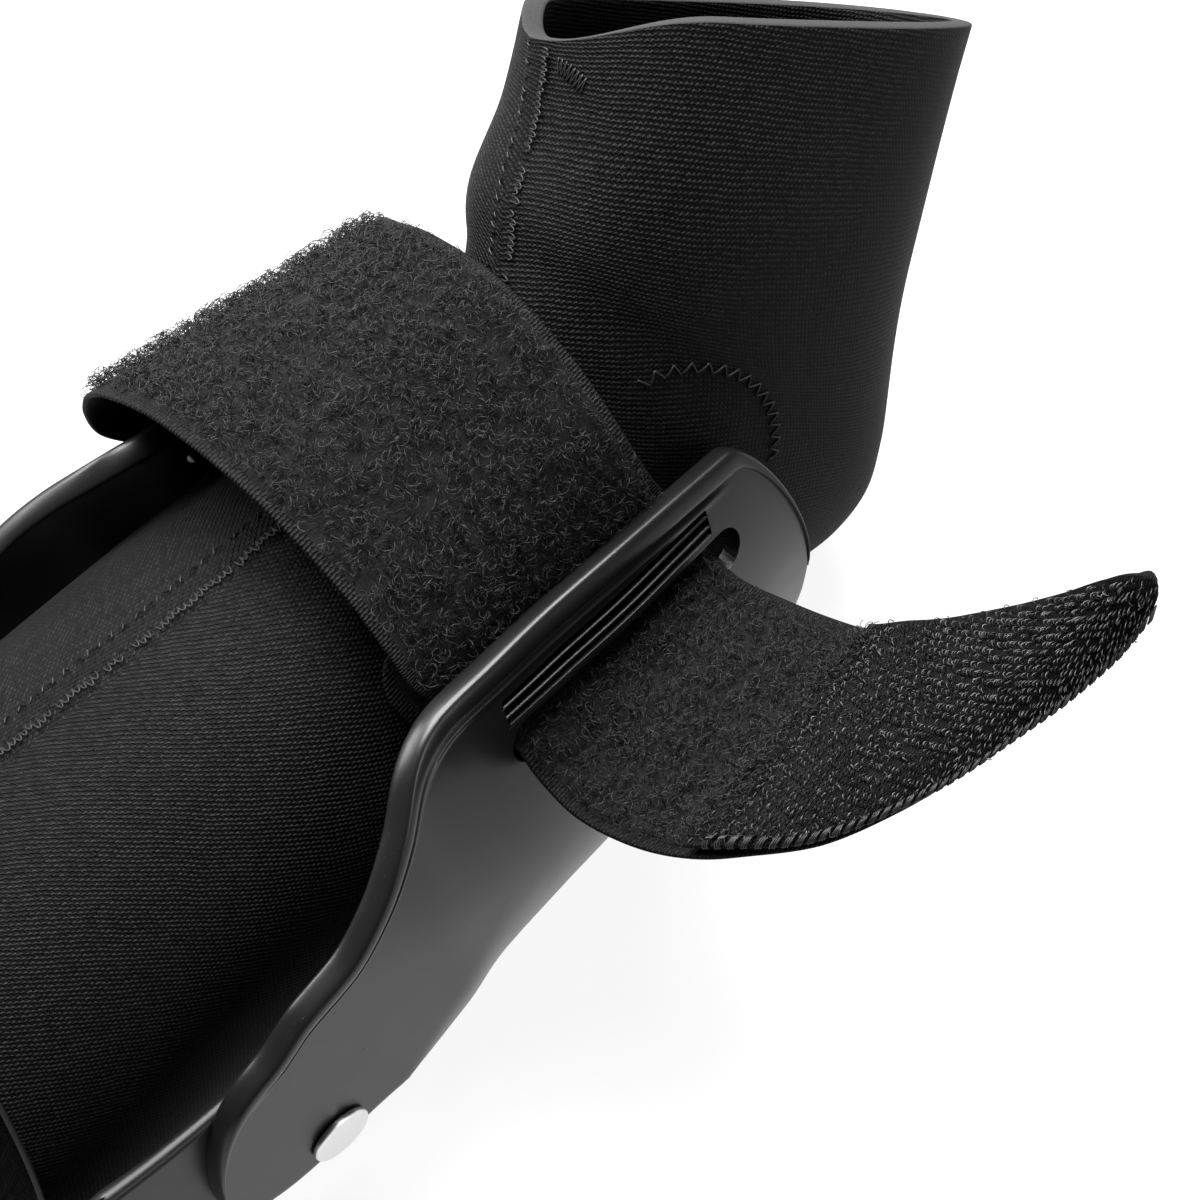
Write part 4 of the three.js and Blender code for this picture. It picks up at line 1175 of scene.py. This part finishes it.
def pileLoops(name, rowFrom, rowTo, perSquare, raised=0.0, scale=1.0):
    # Curled loops of filament that stand on the outer side of the strap.
    rows, length = evenRows(rowFrom, rowTo, 600)
    widths = strapWidth(rows)
    count = int(length * (widths.mean() - 2 * strap["selvage"]) * perSquare)
    row = np.interp(rng.uniform(0, 1, count), np.linspace(0, 1, 600), rows)
    width = np.interp(row, rows, widths)
    margin = (strap["selvage"] - loops["fray"] * rng.uniform(0, 1, count) ** 2) / width
    across = lerp(margin, 1 - margin, rng.uniform(0, 1, count))
    here, along, wide, normal = strapFrame(row, across)
    spin = rng.uniform(0, 2 * math.pi, count)[:, None]
    flat = along * np.cos(spin) + wide * np.sin(spin)
    side = np.cross(normal, flat)
    lean = rng.normal(0, 0.8, count)[:, None]
    upright = unit(normal * np.cos(lean) + side * np.sin(lean))
    size = scale * rng.uniform(loops["sizeLow"], loops["sizeHigh"], count)[:, None, None]
    sweep = np.radians(rng.uniform(190, 340, count))[:, None, None]
    start = np.radians(rng.uniform(-120, -60, count))[:, None, None]
    t = np.linspace(0, 1, loops["steps"])[None, :, None]
    angle = start + sweep * t - 0.15
    shape = flat[:, None] * (np.cos(angle) * size) + upright[:, None] * ((np.sin(angle) + 0.55) * size * 0.85)
    drift = side[:, None] * (t - 0.5) * rng.normal(0, 0.7, count)[:, None, None]
    base = raised - strap["thick"] / 2 + strap["bed"] + 0.25
    high = rng.uniform(0, 1, count)
    heights = (high ** 1.3)[:, None, None] * loops["rise"] * scale
    lines = here[:, None] + normal[:, None] * (base + heights) + shape + drift
    # nothing dips through the band or the floor
    dip = ((lines - here[:, None]) * normal[:, None]).sum(-1, keepdims=True)
    lines = toPart(lines + normal[:, None] * np.maximum(base - 0.1 - dip, 0))
    lines[..., 2] = np.maximum(lines[..., 2], 0.2 * mm)
    # taller loops get lighter tones: painted light on the top of the pile and painted shade low in it, times a random
    # tone
    tones = np.clip(0.25 + 0.75 * high, 0, 1) * rng.uniform(0.35, 1, count)
    return strands(name, lines, loops["radius"], pileFibre, 3, tones)


archFrom = strap["wrapRows"] + 2.0
archTo = strap["wrapRows"] + 12.0
archMiddle = lerp(archFrom, archTo, 0.5)
pilePieces = [
    pileLoops("pile_wrapped", 0.3, archFrom, loops["sparse"]),
    pileLoops("pile_arch_left", archFrom, archMiddle, loops["dense"]),
    pileLoops("pile_arch_right", archMiddle, archTo, loops["dense"]),
    pileLoops("pile_tail", archTo, loops["tailEnd"], loops["dense"]),
]
pileMatted = pileLoops("pile_matted", tapeStart - 0.1, tapeStart + 0.55, loops["matted"], tapeTop - 0.35,
                       loops["mattedSize"])
print("pile made", [len(p.data.polygons) for p in pilePieces])


def hookTab():
    rows, length = evenRows(tapeStart, strapLast, 120)
    low = strap["thick"] / 2 + strap["hookGap"]
    piece, _, _ = bandMesh("hook_tape", rows, low, tapeTop - 0.3, strap["hookInset"], 40, 0.6, [hookBed])
    return piece, rows, length


hookTape, hookRows, hookLength = hookTab()
hooks = {"acrossPitch": 1.35, "alongPitch": 0.92, "tall": 1.1, "wide": 0.55, "radius": 0.105 * mm, "fieldFrom": 5.2,
         "margin": 1.6, "edgePitch": 2.1, "edgeReach": 1.2, "edgeRadius": 0.17 * mm}


def hookField():
    top = tapeTop - 0.35
    lines = []
    rowsAt = np.arange(hooks["fieldFrom"], hookLength - 1.0, hooks["alongPitch"])
    fine, _ = evenRows(tapeStart, strapLast, 600)
    rowNumbers = np.interp(rowsAt / hookLength, np.linspace(0, 1, 600), fine)
    t = np.linspace(0, 1, 7)
    for k, row in enumerate(rowNumbers):
        width = float(strapWidth(row)[0])
        count = int((width - 2 * hooks["margin"]) / hooks["acrossPitch"])
        if count < 1:
            continue
        stagger = 0.75 if k % 2 else 0.25
        spots = (hooks["margin"] + (np.arange(count) + stagger) * hooks["acrossPitch"]) / width
        spots = spots[spots < 1 - 0.9 / width]
        here, along, wide, normal = strapFrame(row, spots)
        way = np.where(rng.uniform(0, 1, len(spots)) < 0.5, 1, -1)[:, None]
        lean = unit(wide * way + along * rng.normal(0, 0.45, (len(spots), 1)))
        tall = hooks["tall"] * rng.uniform(0.85, 1.1, (len(spots), 1, 1))
        angle = math.pi * 1.25 * t[None, :, None]
        shape = (lean[:, None] * ((1 - np.cos(angle)) * hooks["wide"])
                 + normal[:, None] * (np.sin(np.minimum(angle, 2.9)) * tall))
        lines.append(here[:, None] + normal[:, None] * top + shape)
    return strands("hook_field", toPart(np.concatenate(lines)), hooks["radius"], hookFibre, 3)


hookFieldPiece = hookField()


def tabEdge():
    # thick overlocked loops round the long curved edge and the tip of the tab
    lines = []
    top = tapeTop - 0.5
    fine, _ = evenRows(tapeStart + 0.4, strapLast - 0.03, 400)
    edge = strapMiddle(fine, np.full(400, 0.0))
    run = lengthAlong(edge)
    spots = np.interp(np.arange(0.6, run[-1], hooks["edgePitch"]), run, fine)
    t = np.linspace(0, 1, 8)
    for row in spots:
        width = float(strapWidth(row)[0])
        here, along, wide, normal = strapFrame(np.array([row]), np.array([0.6 / width]))
        for shift in (-0.3, 0.1, 0.5):
            angle = lerp(-0.35, math.pi + 0.2, t)[:, None]
            shape = (wide * (1.15 - hooks["edgeReach"] * np.cos(angle)) + normal * (np.sin(angle) * 1.1)
                     + along * (shift + 0.35 * (t[:, None] - 0.5)))
            lines.append(here + normal * top + shape)
    return strands("tab_overlock", toPart(np.array(lines)), hooks["edgeRadius"], overlockThread, 4)


tabEdgePiece = tabEdge()


def sewnBand():
    # the flattened pile where the hook tape is sewn on: two rows of stitches across the strap
    lines = []
    for rowShift in (0.12, 0.62):
        row = tapeStart + rowShift
        width = float(strapWidth(row)[0])
        starts = np.arange(1.0, width - 2.6, 2.0)
        for a in starts:
            across = (a + np.linspace(0, 1.45, 6)) / width
            here, along, wide, normal = strapFrame(np.full(6, row), across)
            lift = tapeTop - 0.3 + 0.22 * np.sin(math.pi * np.linspace(0, 1, 6))[:, None]
            lines.append(here + normal * lift)
    return strands("tab_stitches", toPart(np.array(lines)), 0.16 * mm, sewingThread, 4)


tabStitches = sewnBand()
print("hook tab made")



def own(piece, body, slot, *nodes):
    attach(piece, body)
    if nodes:
        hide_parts(*nodes)


own(sleeveBody, "brace", "neoprene", "sleeve")
own(seamThread, "brace", "neoprene")
own(tackThread, "brace", "neoprene")
own(barTackThread, "brace", "neoprene")
for sideName in ("left", "right"):
    own(shellPieces[sideName], "brace", "shell_plastic", f"shell_{sideName}")
    own(shellPieces[sideName + "Ribs"], "brace", "shell_plastic")
    own(rivetPieces[sideName], "brace", "rivet_metal", f"rivet_{sideName}")
own(stirrupPiece, "stirrup", "stirrup_plastic", "stirrup")
own(strapPiece, "brace", "loop_webbing", "strap")
for piece in pilePieces:
    own(piece, "brace", "loop_webbing")
own(hookTape, "brace", "hook_tape", "hook_tab")
own(hookFieldPiece, "brace", "hook_tape")
own(tabEdgePiece, "brace", "hook_tape")
own(tabStitches, "brace", "hook_tape")
own(pileMatted, "brace", "hook_tape")


# Each light: its place as up, right and back in the camera's directions, its size and its power.
studio = {
    "world": 0.1, "floorGlow": 0.9, "floorPaint": 0.08, "target": (60, 0, 30),
    "boxes": {"key": (0.83, -0.16, 0.54, (0.9, 0.75), 105.0), "back": (0.5, -0.85, 0.2, (0.5, 0.3), 16.0),
              "side": (-0.16, 0.78, 0.61, (0.22, 0.6), 5.0)},
}


def makeFloor():
    finish = Finish("floor_paint")
    faint = finish.noise(3, 2)
    paint = studio["floorPaint"]
    colour = finish.blendColours(faint, (paint, paint, paint), (paint + 0.02, paint + 0.02, paint + 0.02))
    finish.finish(Base_Color=colour, Roughness=0.9, Specular_IOR_Level=0.0, Emission_Color=(1, 1, 1, 1),
                  Emission_Strength=studio["floorGlow"])
    reach = 3.0
    floor = meshObject("floor", [(-reach, -reach, 0), (reach, -reach, 0), (reach, reach, 0), (-reach, reach, 0)],
                       [(0, 1, 2, 3)], [finish.material], smooth=False)
    floor.location.z = -0.0004


def softBox(name, target, offset, size, power):
    data = bpy.data.lights.new(name, "AREA")
    data.shape, data.size, data.size_y = "RECTANGLE", size[0], size[1]
    data.energy = power
    light = bpy.data.objects.new(name, data)
    light.location = target + offset
    light.rotation_euler = (-offset).to_track_quat("-Z", "Y").to_euler()
    bpy.context.scene.collection.objects.link(light)


makeFloor()
target = Vector(toPart(studio["target"]))
for name, (up, right, back, size, power) in studio["boxes"].items():
    softBox(name, target, imageUp * up + imageRight * right + imageBack * back, size, power)
world = bpy.data.worlds.new("studio")
world.use_nodes = True
world.node_tree.nodes["Background"].inputs["Color"].default_value = (1, 1, 1, 1)
world.node_tree.nodes["Background"].inputs["Strength"].default_value = studio["world"]
bpy.context.scene.world = world
bpy.context.scene.view_settings.view_transform = "Standard"
print("stage set")
